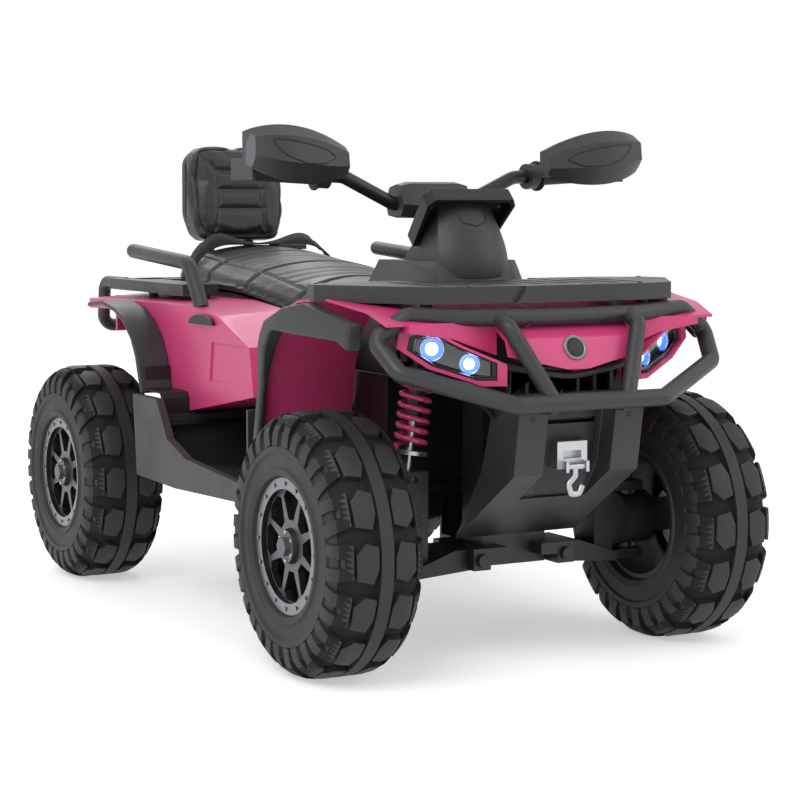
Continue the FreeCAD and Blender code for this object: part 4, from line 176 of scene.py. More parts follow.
# polyester webbing: a tight rib along the strap (12.6 sets the ribs 4 mm apart, so that they show)
polyesterWeb, tree, shader = newMaterial("polyester webbing, woven", Base_Color=linear("#08090A"),
                                         Roughness=0.8, IOR=1.45, Sheen_Weight=0.05)
addGrain(tree, shader, "ShaderNodeTexWave", 12.6, 0.5, 0.5, output="Fac", bands_direction="Y")

# natural rubber grip: matt with a fine pimple
gripRubber, tree, shader = newMaterial("black rubber", IOR=1.5)
addMottle(tree, shader, 30, ("#18191A", "#202122"), (0.62, 0.74))
addGrain(tree, shader, "ShaderNodeTexVoronoi", 2.0, 0.2, 0.4)

# polycarbonate lamp lens: clear, with the mould's slight ripple
clearPc, tree, shader = newMaterial("clear polycarbonate", Base_Color=linear("#F4F7FB"), Roughness=0.02,
                                    IOR=1.58, Transmission_Weight=1.0)
addGrain(tree, shader, "ShaderNodeTexNoise", 30, 0.02, 0.3)

# vacuum metallised reflector with the lamp's blue light on it
reflector, tree, shader = newMaterial("metallised reflector, blue lit", Metallic=1.0, IOR=1.5,
                                      Emission_Color=linear("#1E5FD8"), Emission_Strength=0.4)
addMottle(tree, shader, 4, ("#9FB6D8", "#C9D8EE"), (0.1, 0.2))

# white LED die behind a diffuser, lit: reads as a flat bright spot
ledWhite, tree, shader = newMaterial("white LED diffuser", Base_Color=linear("#FFFFFF"), Roughness=0.4,
                                     Emission_Color=linear("#F4F9FF"), Emission_Strength=3.0)

# halo of the LED on its bowl
ledBlue, tree, shader = newMaterial("blue LED halo", Base_Color=linear("#5C9BF5"), Roughness=0.35,
                                    Emission_Color=linear("#4A92F6"), Emission_Strength=0.8)

# red ABS button: polished
redAbs, tree, shader = newMaterial("red ABS, polished", IOR=1.54)
addMottle(tree, shader, 8, ("#A81018", "#B8141D"), (0.24, 0.34))
print("materials ready")


# meshes and pieces

bodyOf = {node: body for body, members in frame["record"]["behaviour"]["bodies"].items() for node in members}


def camel(node):
    first, *rest = node.split("_")
    return first + "".join(word.capitalize() for word in rest)


def meshCopy(node, flatten=True):
    bm = bmesh.new()
    bm.from_mesh(frame["nodes"][node].data)
    bmesh.ops.remove_doubles(bm, verts=bm.verts, dist=mergeReach)
    if flatten:
        bmesh.ops.dissolve_limit(bm, angle_limit=math.radians(flatAngle), verts=bm.verts, edges=bm.edges)
    return bm


def newPiece(name, bm):
    mesh = bpy.data.meshes.new(name)
    bm.to_mesh(mesh)
    bm.free()
    mesh.shade_smooth()
    piece = bpy.data.objects.new(name, mesh)
    scene.collection.objects.link(piece)
    return piece


def finishPiece(piece, body, materials, nodes=()):
    for material in materials if isinstance(materials, tuple) else (materials,):
        piece.data.materials.append(material)
    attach(piece, body)
    if nodes:
        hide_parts(*nodes)
    return piece


def roundEdges(piece, widthMm, segments=3, angle=32):
    bevel = piece.modifiers.new("rounded edges", "BEVEL")
    bevel.width = widthMm * mm
    bevel.segments = segments
    bevel.limit_method = "ANGLE"
    bevel.angle_limit = math.radians(angle)
    bevel.profile = 0.5
    bevel.material = -1
    bevel.miter_outer = "MITER_ARC"
    weighted = piece.modifiers.new("even shading", "WEIGHTED_NORMAL")
    weighted.keep_sharp = True
    return piece


# the piece's mesh with its modifiers worked in
def settle(piece):
    graph = bpy.context.evaluated_depsgraph_get()
    mesh = bpy.data.meshes.new_from_object(piece.evaluated_get(graph))
    piece.modifiers.clear()
    piece.data = mesh
    mesh.shade_smooth()
    return piece


def thicken(piece, thickMm, offset=-1):
    wall = piece.modifiers.new("thickness", "SOLIDIFY")
    wall.thickness = thickMm * mm
    wall.offset = offset
    return piece


# the points among what an operator made
def pointsIn(geom):
    return [part for part in geom if isinstance(part, bmesh.types.BMVert)]


def chain(bm, spots):
    knots = [bm.verts.new(spot) for spot in spots]
    return knots, [bm.edges.new(pair) for pair in zip(knots, knots[1:])]


# a line of (reach, depth) in mm turned round the Y axis
def turned(line, steps):
    bm = bmesh.new()
    knots, edges = chain(bm, [(reach * mm, depth * mm, 0) for reach, depth in line])
    bmesh.ops.spin(bm, geom=knots + edges, cent=(0, 0, 0), axis=(0, 1, 0), angle=2 * math.pi, steps=steps,
                   use_merge=True)
    bmesh.ops.remove_doubles(bm, verts=bm.verts, dist=mergeReach)
    return bm


def treeOf(mesh):
    bm = bmesh.new()
    bm.from_mesh(mesh)
    tree = BVHTree.FromBMesh(bm)
    bm.free()
    return tree


def hitOn(tree, start, way):
    way = Vector(way).normalized()
    spot, normal, index, distance = tree.ray_cast(Vector(start), way)
    if spot is None:
        raise RuntimeError(f"nothing in the way from {tuple(start)}")
    return spot, normal if normal.dot(way) < 0 else -normal


# a round cord through points, as a mesh
def cordMesh(points, radiusMm, closed=False):
    curve = bpy.data.curves.new("cordLine", "CURVE")
    curve.dimensions = "3D"
    curve.bevel_depth = radiusMm * mm
    curve.bevel_resolution = 2
    curve.use_fill_caps = True
    line = curve.splines.new("NURBS")
    line.points.add(len(points) - 1)
    for knot, spot in zip(line.points, points):
        knot.co = (*spot, 1)
    line.order_u = 3
    line.use_endpoint_u = not closed
    line.use_cyclic_u = closed
    line.resolution_u = 3
    carrier = bpy.data.objects.new("cordLine", curve)
    scene.collection.objects.link(carrier)
    mesh = bpy.data.meshes.new_from_object(carrier.evaluated_get(bpy.context.evaluated_depsgraph_get()))
    bpy.data.objects.remove(carrier)
    bpy.data.curves.remove(curve)
    return mesh


# one mesh from several cords
def cordsTogether(lines, radiusMm, closed=False):
    bm = bmesh.new()
    for points in lines:
        bm.from_mesh(cordMesh(points, radiusMm, closed))
    return bm


# the skin of a mesh inside a convex outline, as seen along a way; parts hidden deeper than seenMm go
def skinInside(mesh, outline, way, facing=0.1, seenMm=1.5):
    way = Vector(way).normalized()
    tree = treeOf(mesh)
    bm = bmesh.new()
    bm.from_mesh(mesh)
    bmesh.ops.remove_doubles(bm, verts=bm.verts, dist=mergeReach)
    bmesh.ops.delete(bm, geom=[f for f in bm.faces if f.normal.dot(way) > -facing], context="FACES")
    middle = sum(outline, Vector()) / len(outline)
    for a, b in zip(outline, outline[1:] + outline[:1]):
        across = (b - a).cross(way).normalized()
        if across.dot(middle - a) > 0:
            across = -across
        bmesh.ops.bisect_plane(bm, geom=bm.verts[:] + bm.edges[:] + bm.faces[:], dist=0.1 * mergeReach,
                               plane_co=a, plane_no=across, clear_outer=True)
    hidden = []
    for face in bm.faces:
        spot = face.calc_center_median()
        seen, normal, index, distance = tree.ray_cast(spot - way, way)
        if seen is None or (seen - spot).length > seenMm * mm:
            hidden.append(face)
    bmesh.ops.delete(bm, geom=hidden, context="FACES")
    return bm


# lifts a skin off its carrier and gives it thickness
def plateFrom(name, bm, liftMm, thickMm, edgeMm):
    bm.normal_update()
    for vert in bm.verts:
        vert.co += vert.normal * liftMm * mm
    return roundEdges(thicken(newPiece(name, bm), thickMm), edgeMm, 2)


# a pan head screw with a sunk socket, in shares of the head's radius
screw = {"sides": 16, "top": 0.9, "high": 0.7, "rim": 0.42, "socket": 0.3, "edge": 0.16}


def addScrew(bm, spot, normal, radiusMm):
    radius = radiusMm * mm
    stand = Matrix.Translation(spot) @ normal.to_track_quat("Z", "Y").to_matrix().to_4x4()
    head = bmesh.ops.create_cone(bm, cap_ends=True, segments=screw["sides"], radius1=radius,
                                 radius2=radius * screw["top"], depth=radius * screw["high"], matrix=stand)
    faces = {face for vert in head["verts"] for face in vert.link_faces}
    cap = max(faces, key=lambda face: face.calc_center_median().dot(normal))
    brim = list(cap.edges)
    bmesh.ops.inset_individual(bm, faces=[cap], thickness=radius * screw["rim"])
    bmesh.ops.translate(bm, verts=cap.verts, vec=normal * radius * -screw["socket"])
    bmesh.ops.bevel(bm, geom=brim, offset=radius * screw["edge"], segments=2, profile=0.5, affect="EDGES",
                    material=-1)


def refined(node, materials, widthMm, segments=3, angle=32, flatten=True):
    piece = newPiece(camel(node), meshCopy(node, flatten))
    roundEdges(piece, widthMm, segments, angle)
    return finishPiece(piece, bodyOf[node], materials, [node])


# each finish with its nodes and their edge radii in mm
mouldedNodes = (
    (pinkAbs, {"rear_body": 1.6}),
    (charcoalPp, {"front_flares": 5, "rear_flares": 3, "footwell_left": 2, "footwell_right": 2,
                  "front_rack": 3, "rear_rack": 4, "grab_handles": 2, "front_bumper": 3,
                  "hand_guard_left": 4, "hand_guard_right": 4, "dash_cowl": 4, "bar_cover": 5,
                  "skid_plate": 3}),
    (blackPp, {"chassis_tub": 2.5, "seat_base": 2.5, "backrest_shell": 4, "grille": 1.2, "dash_panel": 2.5,
               "side_plugs": 2, "battery": 3, "belt_buckle": 2, "accelerator_pedal": 2.5,
               "front_arm_left": 3, "front_arm_right": 3, "knuckle_left": 2.5, "knuckle_right": 2.5,
               "shock_body_left": 1, "shock_body_right": 1}),
    (powderCoat, {"front_subframe": 2, "steering_column": 1, "handlebar": 1, "tie_rod_left": 1,
                  "tie_rod_right": 1, "rear_swing_arm": 2, "arm_pivot_bolts": 1}),
    (zincSteel, {"swing_pin": 1, "winch_hook": 0.8, "shock_rod_left": 0.8, "shock_rod_right": 0.8}),
    (castAluminium, {"winch_fairlead": 2}),
    (springEnamel, {"shock_spring_left": 0.3, "shock_spring_right": 0.3, "rear_springs": 0.3}),
    (gripRubber, {"grips": 1.2}),
    (redAbs, {"start_button": 1}),
)
pieces = {node: refined(node, finish, width)
          for finish, widths in mouldedNodes for node, width in widths.items()}

# the front shell, with the nose left plain under its roundel
roundel = {"root": (0, -654.8, 484), "lean": -20.7, "clear": 25, "proud": 0.4, "sink": 1.5, "up": 3.5,
           "ringIn": 14.6, "steps": 48, "shellEdge": 1.6,
           "line": ((0, 2.7), (9, 2.9), (14, 2.4), (14.6, 1.6), (15.2, 2.8), (16.8, 3.4), (18.4, 2.9),
                    (19, 1.8), (19, -4))}
nosePlace = (Matrix.Translation(Vector(roundel["root"]) * mm)
             @ Matrix.Rotation(math.radians(roundel["lean"]), 4, "X"))
noseBm = meshCopy("front_body", flatten=False)
for vert in noseBm.verts:
    spot = nosePlace.inverted() @ vert.co
    if math.hypot(spot.x, spot.z) < roundel["clear"] * mm and spot.y < -roundel["proud"] * mm:
        vert.co = nosePlace @ Vector((spot.x, roundel["sink"] * mm, spot.z))
frontShell = roundEdges(newPiece("frontBody", noseBm), roundel["shellEdge"])
pieces["front_body"] = finishPiece(frontShell, "chassis", pinkAbs, ["front_body"])
print("refined", len(pieces), "nodes")


# coil springs: each spring piece is given a mesh of its own
coils = {"lowEye": (172, -460, 285), "topEye": (148, -460, 470), "seat": (166, -460, 330), "keep": 0.9,
         "rearSeat": (0, 430, 234), "rearKeep": 0.93}
for name, side in sides.items():
    turn = Matrix.Diagonal((side, 1, 1))
    way = turn @ (Vector(coils["topEye"]) - Vector(coils["lowEye"]))
    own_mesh(pieces[f"shock_spring_{name.lower()}"])
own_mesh(pieces["rear_springs"])
print("springs ready")


# wheels: tyres with painted shade in the tread's grooves, rims painted on their outer faces, nuts round the cap

wheel = {"shoulder": 168, "floorReach": 189, "grooveTurn": 0.5, "grooveSide": 0.8, "tyreEdge": 1.6,
         "rimEdge": 1, "ringIn": 83, "faceTurn": 0.6, "capShare": 0.8,
         "nuts": 6, "nutReach": 21, "nutRadius": 3.4, "nutHigh": 4, "nutEdge": 0.5}
for corner in ("front_left", "front_right", "rear_left", "rear_right"):
    side = 1 if corner.endswith("left") else -1
    low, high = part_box(f"tyre_{corner}")
    hub = (Vector(low) + Vector(high)) / 2
    # the tyre's second material darkens the groove floors and groove walls: painted shade
    tyre = refined(f"tyre_{corner}", (tyreEva, grooveShadeEva), wheel["tyreEdge"], 2, flatten=False)
    for face in tyre.data.polygons:
        out = Vector((0, face.center.y - hub.y, face.center.z - hub.z))
        upright = abs(face.normal.dot(out.normalized())) < wheel["grooveTurn"]
        grooveFloor = out.length < wheel["floorReach"] * mm and not upright
        grooveWall = upright and abs(face.normal.x) < wheel["grooveSide"]
        if out.length > wheel["shoulder"] * mm and (grooveFloor or grooveWall):
            face.material_index = 1
    rim = refined(f"rim_{corner}", (blackPp, silverPaint, graphitePaint), wheel["rimEdge"], 2, flatten=False)
    capReach = wheel["capShare"] * wheel["nutReach"] * mm
    for face in rim.data.polygons:
        reach = Vector((0, face.center.y - hub.y, face.center.z - hub.z)).length
        if face.normal.x * side > wheel["faceTurn"] or reach < capReach:
            face.material_index = 1 if reach > wheel["ringIn"] * mm else 2
    rimTree = treeOf(frame["nodes"][f"rim_{corner}"].data)
    nutsBm = bmesh.new()
    for index in range(wheel["nuts"]):
        turn = 2 * math.pi * index / wheel["nuts"]
        start = hub + Vector((side, math.sin(turn) * wheel["nutReach"] * mm,
                              math.cos(turn) * wheel["nutReach"] * mm))
        spot, normal = hitOn(rimTree, start, (-side, 0, 0))
        stand = Matrix.Translation(spot) @ Matrix.Rotation(math.pi / 2, 4, "Y")
        nut = bmesh.ops.create_cone(nutsBm, cap_ends=True, segments=6, radius1=wheel["nutRadius"] * mm,
                                    radius2=wheel["nutRadius"] * mm, depth=wheel["nutHigh"] * mm, matrix=stand)
        bmesh.ops.bevel(nutsBm, geom=list({edge for vert in nut["verts"] for edge in vert.link_edges}),
                        offset=wheel["nutEdge"] * mm, segments=2, profile=0.5, affect="EDGES", material=-1)
    finishPiece(newPiece(camel(f"hub_nuts_{corner}"), nutsBm), bodyOf[f"rim_{corner}"], zincSteel)
print("wheels ready")


# headlamps: the housing's floor sunk deep, two lit bowls in it, and a thin chamfered lens

lamp = {"place": (181, -610, 478), "turn": 26, "length": 130, "height": 70, "floor": 6, "front": 1, "sink": 18,
        "edge": 1.5, "reach": 100, "level": 0.4, "facing": 0.9,
        "bowls": (((0.215, 0.14), 17), ((-0.2, -0.17), 14.5)), "bowlDeep": 11, "bowlGap": 2, "bowlThick": 1,
        "bowlRings": 9, "bowlSides": 32, "die": 0.58, "halo": 0.84,
        "lensEdge": 5, "lensCrown": 1.5, "lensThick": 1.4, "lensRound": 0.6, "lensAngle": 20}
lampPlace = Matrix.Translation(Vector(lamp["place"]) * mm) @ Matrix.Rotation(math.radians(lamp["turn"]), 4, "Z")
lampPlaces = {name: Matrix.Diagonal((side, 1, 1, 1)) @ lampPlace for name, side in sides.items()}


# faces at one depth of either lamp that look forward
def lampFaces(bm, depthMm):
    found = []
    for face in bm.faces:
        for place in lampPlaces.values():
            spot = place.inverted() @ face.calc_center_median()
            forward = -(place.to_3x3() @ Vector((0, 1, 0)))
            level = abs(spot.x) < lamp["reach"] * mm and abs(spot.y - depthMm * mm) < lamp["level"] * mm
            if level and face.normal.dot(forward) > lamp["facing"]:
                found.append((face, -forward))
    return found


housingBm = meshCopy("headlights")
for face, inward in lampFaces(housingBm, lamp["floor"]):
    grown = bmesh.ops.extrude_face_region(housingBm, geom=[face])
    bmesh.ops.translate(housingBm, verts=pointsIn(grown["geom"]), vec=inward * lamp["sink"] * mm)
    bmesh.ops.delete(housingBm, geom=[face], context="FACES_ONLY")
housing = roundEdges(newPiece("headlights", housingBm), lamp["edge"])
finishPiece(housing, "chassis", blackPp, ["headlights"])

lensBm = meshCopy("headlight_lenses")
glass = lampFaces(lensBm, lamp["front"])
kept = {face for face, inward in glass}
bmesh.ops.delete(lensBm, geom=[face for face in lensBm.faces if face not in kept], context="FACES")
for face, inward in glass:
    bmesh.ops.inset_individual(lensBm, faces=[face], thickness=lamp["lensEdge"] * mm)
    bmesh.ops.translate(lensBm, verts=face.verts, vec=inward * -lamp["lensCrown"] * mm)
lens = thicken(newPiece("headlightLenses", lensBm), lamp["lensThick"])
roundEdges(lens, lamp["lensRound"], 2, lamp["lensAngle"])
finishPiece(lens, "chassis", clearPc, ["headlight_lenses"])

bowlsBm = bmesh.new()
shares = [1 - ring / lamp["bowlRings"] for ring in range(lamp["bowlRings"] + 1)]
for place in lampPlaces.values():
    forward = -(place.to_3x3() @ Vector(rearward))
    for (across, rise), radius in lamp["bowls"]:
        bowlBm = turned([(radius * share, lamp["bowlDeep"] * (1 - share * share)) for share in shares],
                        lamp["bowlSides"])
        for face in bowlBm.faces:
            spot = face.calc_center_median()
            reach = math.hypot(spot.x, spot.z) / (radius * mm)
            face.material_index = 2 if reach < lamp["die"] else 1 if reach < lamp["halo"] else 0
        bowlSeat = Vector((lamp["length"] * across, lamp["floor"] + lamp["bowlGap"],
                           lamp["height"] * rise)) * mm
        bmesh.ops.transform(bowlBm, matrix=place @ Matrix.Translation(bowlSeat), verts=bowlBm.verts)
        bmesh.ops.recalc_face_normals(bowlBm, faces=bowlBm.faces)
        if sum(face.normal.dot(forward) for face in bowlBm.faces) < 0:
            bmesh.ops.reverse_faces(bowlBm, faces=bowlBm.faces)
        bowl = bpy.data.meshes.new("bowl")
        bowlBm.to_mesh(bowl)
        bowlBm.free()
        bowlsBm.from_mesh(bowl)
bowls = thicken(newPiece("lampBowls", bowlsBm), lamp["bowlThick"])
finishPiece(bowls, "chassis", (reflector, ledBlue, ledWhite))
print("headlamps ready")


# seat and backrest: covered foam, plumped by simulation, then drawn in along the seams

foam = {"pressure": 4, "frames": 20, "underside": -0.3, "seamReach": 2.6}


def plumped(node, voxelMm, capMm, insetMm, ready=None):
    bm = meshCopy(node, flatten=False)
    bm.normal_update()
    for vert in bm.verts:
        vert.co -= vert.normal * insetMm * mm
    if ready:
        ready(bm)
    piece = newPiece(camel(node), bm)
    even = piece.modifiers.new("even mesh", "REMESH")
    even.mode = "VOXEL"
    even.voxel_size = voxelMm * mm
    settle(piece)
    start = [vert.co.copy() for vert in piece.data.vertices]
    normals = [vert.normal.copy() for vert in piece.data.vertices]
    cover = piece.modifiers.new("cover on foam", "CLOTH")
    cover.settings.use_pressure = True
    cover.settings.uniform_pressure_force = foam["pressure"]
    cover.settings.effector_weights.gravity = 0
    cover.point_cache.frame_start = 1
    cover.point_cache.frame_end = foam["frames"]
    for number in range(1, foam["frames"] + 1):
        scene.frame_set(number)
    settle(piece)
    for vert, spot, normal in zip(piece.data.vertices, start, normals):
        room = capMm * mm if normal.z > foam["underside"] else 0
        shift = vert.co - spot
        if shift.length > room:
            shift *= room / shift.length
        vert.co = spot + shift
    scene.frame_set(1)
    finer = piece.modifiers.new("finer mesh", "SUBSURF")
    finer.levels = 1
    finer.render_levels = 1
    return settle(piece)


# draws a padded mesh in along seam lines; a line is (points, depth in mm, half width in mm)
def sew(piece, lines):
    bm = bmesh.new()
    bm.from_mesh(piece.data)
    bm.normal_update()
    pull = {}
    for points, depthMm, widthMm in lines:
        tree = KDTree(len(points))
        for index, spot in enumerate(points):
            tree.insert(spot, index)
        tree.balance()
        for vert in bm.verts:
            near, index, distance = tree.find(vert.co)
            if distance < widthMm * foam["seamReach"] * mm:
                depth = depthMm * mm * math.exp(-(distance / (widthMm * mm)) ** 2)
                pull[vert.index] = max(pull.get(vert.index, 0), depth)
    for vert in bm.verts:
        vert.co -= vert.normal * pull.get(vert.index, 0)
    bm.to_mesh(piece.data)
    bm.free()


# points a millimetre or two apart through a few corner points
def along(corners, stepMm=1.5):
    points = []
    for a, b in zip(corners, corners[1:]):
        count = max(2, int((b - a).length / (stepMm * mm)))
        points += [a.lerp(b, step / count) for step in range(count)]
    return points + [corners[-1]]


# the same through a smooth curve
def smoothAlong(corners, rounds=3):
    for step in range(rounds):
        finer = [corners[0]]
        for a, b in zip(corners, corners[1:]):
            finer += [a.lerp(b, 0.25), a.lerp(b, 0.75)]
        corners = finer + [corners[-1]]
    return along(corners)


seat = {"voxel": 5.5, "cap": 7, "inset": 3, "front": -190, "length": 686.8, "above": 800, "half": 158,
        "halfWidths": ((0, 0.42), (0.1, 0.62), (0.3, 0.86), (0.515, 1.0), (0.75, 1.0), (0.93, 0.95), (1, 0.88)),
        "border": 0.74, "borderFrom": 0.1, "borderRun": 0.86, "borderSeam": (3.2, 4), "welt": 1.8,
        "channels": (0.30, 0.515, 0.75), "channelSpan": 0.95, "channelSeam": (4, 5),
        "flutes": (0.345, 0.385, 0.425, 0.56, 0.6, 0.64), "fluteSpan": 0.96, "fluteBow": 0.02,
        "fluteSeam": (1.6, 6)}
halfSteps = 40
steps = [step / halfSteps for step in range(-halfSteps, halfSteps + 1)]


def seatHalf(share):
    for (a, wide), (b, wider) in zip(seat["halfWidths"], seat["halfWidths"][1:]):
        if a <= share <= b:
            return seat["half"] * (wide + (wider - wide) * (share - a) / (b - a))
    return 0


cushion = plumped("seat_cushion", seat["voxel"], seat["cap"], seat["inset"])
seatTree = treeOf(cushion.data)


# points on top of the seat over shares of its width and length
def onSeat(spots):
    points = []
    for across, share in spots:
        start = Vector((across * seatHalf(share), seat["front"] + seat["length"] * share, seat["above"])) * mm
        points.append(hitOn(seatTree, start, downward)[0])
    return points


def seatBorders():
    shares = [seat["borderFrom"] + seat["borderRun"] * (step + 1) / 2 for step in steps]
    return [onSeat([(side * seat["border"], share) for share in shares]) for side in sides.values()]


seamLines = [(along(line), *seat["borderSeam"]) for line in seatBorders()]
for share in seat["channels"]:
    line = onSeat([(step * seat["channelSpan"], share) for step in steps])
    seamLines.append((along(line), *seat["channelSeam"]))
for share in seat["flutes"]:
    line = onSeat([(step * seat["border"] * seat["fluteSpan"], share + seat["fluteBow"] * step * step)
                   for step in steps])
    seamLines.append((along(line), *seat["fluteSeam"]))
sew(cushion, seamLines)
finishPiece(cushion, "chassis", leatherette, ["seat_cushion"])
seatTree = treeOf(cushion.data)
seatWelts = newPiece("seatWelts", cordsTogether(seatBorders(), seat["welt"]))
finishPiece(seatWelts, "chassis", pipingVinyl)

back = {"foot": (0, 504, 622), "lean": 4, "half": 101, "height": 188, "voxel": 4, "cap": 7, "inset": 4,
        "ahead": -100, "flatHalf": 70, "flatLow": 18, "flatTop": 170, "flatDeep": 12,
        "ribs": (0.335, 0.527, 0.718), "ribHalf": 0.44, "fold": 0.06, "foldHalf": 0.56,
        "ribSeams": ((4.2, 6), (5, 2.4)),
        "panel": ((0.56, 0.06), (0.45, 0.3), (0.42, 0.5), (0.46, 0.72), (0.76, 0.88)), "panelSeam": (3.6, 3.2),
        "border": ((0, 0.05), (0.66, 0.05), (0.84, 0.2), (0.87, 0.4), (0.86, 0.7), (0.83, 0.9), (0.7, 0.945),
                   (0, 0.945)), "borderSeam": (2.6, 3.4), "welt": 1.7, "weltStep": 3}
backPlace = (Matrix.Translation(Vector(back["foot"]) * mm)
             @ Matrix.Rotation(math.radians(-back["lean"]), 4, "X"))


# the front of the backrest made plain before the cover is sewn
def plainFront(bm):
    for vert in bm.verts:
        spot = backPlace.inverted() @ vert.co
        inside = abs(spot.x) < back["flatHalf"] * mm and back["flatLow"] * mm < spot.z < back["flatTop"] * mm
        if inside and spot.y < back["flatDeep"] * mm:
            spot.y = back["inset"] * mm
            vert.co = backPlace @ spot


backrest = plumped("backrest_cushion", back["voxel"], back["cap"], back["inset"], plainFront)
backTree = treeOf(backrest.data)
backward = backPlace.to_3x3() @ Vector(rearward)


# points on the front of the backrest over shares of its half width and height
def onBack(spots):
    points = []
    for across, rise in spots:
        start = backPlace @ (Vector((across * back["half"], back["ahead"], rise * back["height"])) * mm)
        points.append(hitOn(backTree, start, backward)[0])
    return points


def shareCurve(shares):
    corners = smoothAlong([Vector((a, b, 0)) * mm for a, b in shares])
    return [(spot.x / mm, spot.y / mm) for spot in corners]


seamLines = []
for side in sides.values():
    edge = [(side * wide, rise) for wide, rise in shareCurve(back["panel"])]
    seamLines.append((along(onBack(edge)), *back["panelSeam"]))
for rise in back["ribs"] + (back["fold"],):
    wide = back["foldHalf"] if rise == back["fold"] else back["ribHalf"]
    line = along(onBack([(step * wide, rise) for step in steps]))
    seamLines += [(line, *seam) for seam in back["ribSeams"]]
rightHalf = shareCurve(back["border"])
loop = rightHalf + [(-wide, rise) for wide, rise in reversed(rightHalf[:-1])]
seamLines.append((along(onBack(loop)), *back["borderSeam"]))
sew(backrest, seamLines)
finishPiece(backrest, "chassis", leatherette, ["backrest_cushion"])
backTree = treeOf(backrest.data)
weltBm = cordsTogether([onBack(loop[::back["weltStep"]])], back["welt"], closed=True)
finishPiece(newPiece("backrestWelt", weltBm), "chassis", pipingVinyl)
print("seat and backrest sewn")


# lap belt: webbing that arches over the seat between its anchors and the buckle

belt = {"y": 408, "width": 38, "thick": 1.5, "rest": 1.2, "hump": 9, "humpAt": 96, "humpWide": 42, "side": 156,
        "foot": 552, "footRise": 10, "footIn": 0.5, "top": 146, "steps": 36,
        "lean": 34, "leanAt": 92, "leanWide": 52}
beltRows = [(belt["side"], belt["foot"]), (belt["side"] - belt["footIn"], belt["foot"] + belt["footRise"])]
overTop = []
for step in range(-belt["steps"], belt["steps"] + 1):
    x = belt["top"] * step / belt["steps"]
    spot, normal = hitOn(seatTree, Vector((x, belt["y"], seat["above"])) * mm, downward)
    lift = belt["hump"] * math.exp(-((abs(x) - belt["humpAt"]) / belt["humpWide"]) ** 2)
    overTop.append((-x, spot.z / mm + belt["rest"] + belt["thick"] + lift))
beltRows += overTop + [(-x, z) for x, z in reversed(beltRows)]
beltBm = bmesh.new()
ends = [beltBm.verts.new(Vector((beltRows[0][0], belt["y"] + half * belt["width"] / 2, beltRows[0][1])) * mm)
        for half in (-1, 1)]
front = [beltBm.edges.new(ends)]
for (x, z), (nextX, nextZ) in zip(beltRows, beltRows[1:]):
    grown = bmesh.ops.extrude_edge_only(beltBm, edges=front)["geom"]
    bmesh.ops.translate(beltBm, verts=pointsIn(grown), vec=Vector((nextX - x, 0, nextZ - z)) * mm)
    front = [part for part in grown if isinstance(part, bmesh.types.BMEdge)
             and abs(part.verts[0].co.y - part.verts[1].co.y) > 1 * mm]
half = belt["width"] / 2 * mm
for vert in beltBm.verts:
    away = (abs(vert.co.x / mm) - belt["leanAt"]) / belt["leanWide"]
    lean = math.radians(belt["lean"]) * math.exp(-away ** 2)
    edge = 1 if vert.co.y > belt["y"] * mm else -1
    vert.co.y = belt["y"] * mm + edge * half * math.cos(lean)
    vert.co.z += (1 + edge) * half * math.sin(lean)
bmesh.ops.recalc_face_normals(beltBm, faces=beltBm.faces)
webbing = thicken(newPiece("seatBelt", beltBm), belt["thick"], 0)
finishPiece(webbing, "chassis", polyesterWeb, ["seat_belt"])


# hand guards: a lens shaped inlay in a dark groove, and a pale plate on the outer end that stands for the
# highlight on the end wall: painted highlight

guard = {"ahead": -600, "beside": 600, "lift": 0.5, "thick": 2, "edge": 0.6, "groove": 1.5, "grooveStep": 6,
         "eye": ((-327, 792), (-300, 791), (-262, 785), (-230, 777), (-212, 766), (-236, 756), (-270, 756),
                 (-300, 765), (-318, 778)),
         "end": ((-318, 758), (-290, 742), (-282, 752), (-286, 786), (-302, 800), (-322, 796)),
         "endFacing": 0.75}
for name, side in sides.items():
    skin = frame["nodes"][f"hand_guard_{name.lower()}"].data
    guardTree = treeOf(skin)
    eye = [Vector((-x * side, guard["ahead"], z)) * mm for x, z in guard["eye"]]
    eyeSkin = skinInside(skin, eye, rearward)
    inlay = plateFrom(f"guardInlay{name}", eyeSkin, guard["lift"], guard["thick"], guard["edge"])
    finishPiece(inlay, "steering", charcoalPp)
    line = along(eye + eye[:1], guard["grooveStep"])[:-1]
    groove = cordsTogether([[hitOn(guardTree, spot, rearward)[0] for spot in line]], guard["groove"], True)
    finishPiece(newPiece(f"guardGroove{name}", groove), "steering", blackPp)
    # a pale plate on the outer end for the highlight on the end wall: painted highlight
    end = [Vector((side * guard["beside"], y, z)) * mm for y, z in guard["end"]]
    endSkin = skinInside(skin, end, (-side, 0, 0), guard["endFacing"])
    cap = plateFrom(f"guardEndHighlight{name}", endSkin, guard["lift"], guard["thick"], guard["edge"])
    finishPiece(cap, "steering", graphitePaint)
print("guards ready")


# black inner liners: over the footwells, in front of the rear arches, and round the grille

liner = {"thick": 2.5, "edge": 1,
         "in": 146, "out": 324,
         "line": ((104, 318), (124, 322), (130, 330), (131, 362), (137, 370), (200, 371)),
         "archIn": 273, "archOut": 322, "arch": ((196, 370), (205, 372), (210, 380), (212, 412)),
         "nose": ((-84, 362), (84, 362), (136, 411), (108, 441), (108, 462), (-108, 462), (-108, 441),
                  (-136, 411)), "noseY": -612, "noseInset": 9, "noseSink": 5}
liners = {}
for name, side in sides.items():
    linerBm = bmesh.new()
    for line, inner, outer in ((liner["line"], liner["in"], liner["out"]),
                               (liner["arch"], liner["archIn"], liner["archOut"])):
        knots, edges = chain(linerBm, [Vector((side * inner, y, z)) * mm for y, z in line])
        grown = bmesh.ops.extrude_edge_only(linerBm, edges=edges)["geom"]
        bmesh.ops.translate(linerBm, verts=pointsIn(grown), vec=Vector((side * (outer - inner), 0, 0)) * mm)
    liners[f"sideLiner{name}"] = linerBm
linerBm = bmesh.new()
face = linerBm.faces.new([linerBm.verts.new(Vector((x, liner["noseY"], z)) * mm) for x, z in liner["nose"]])
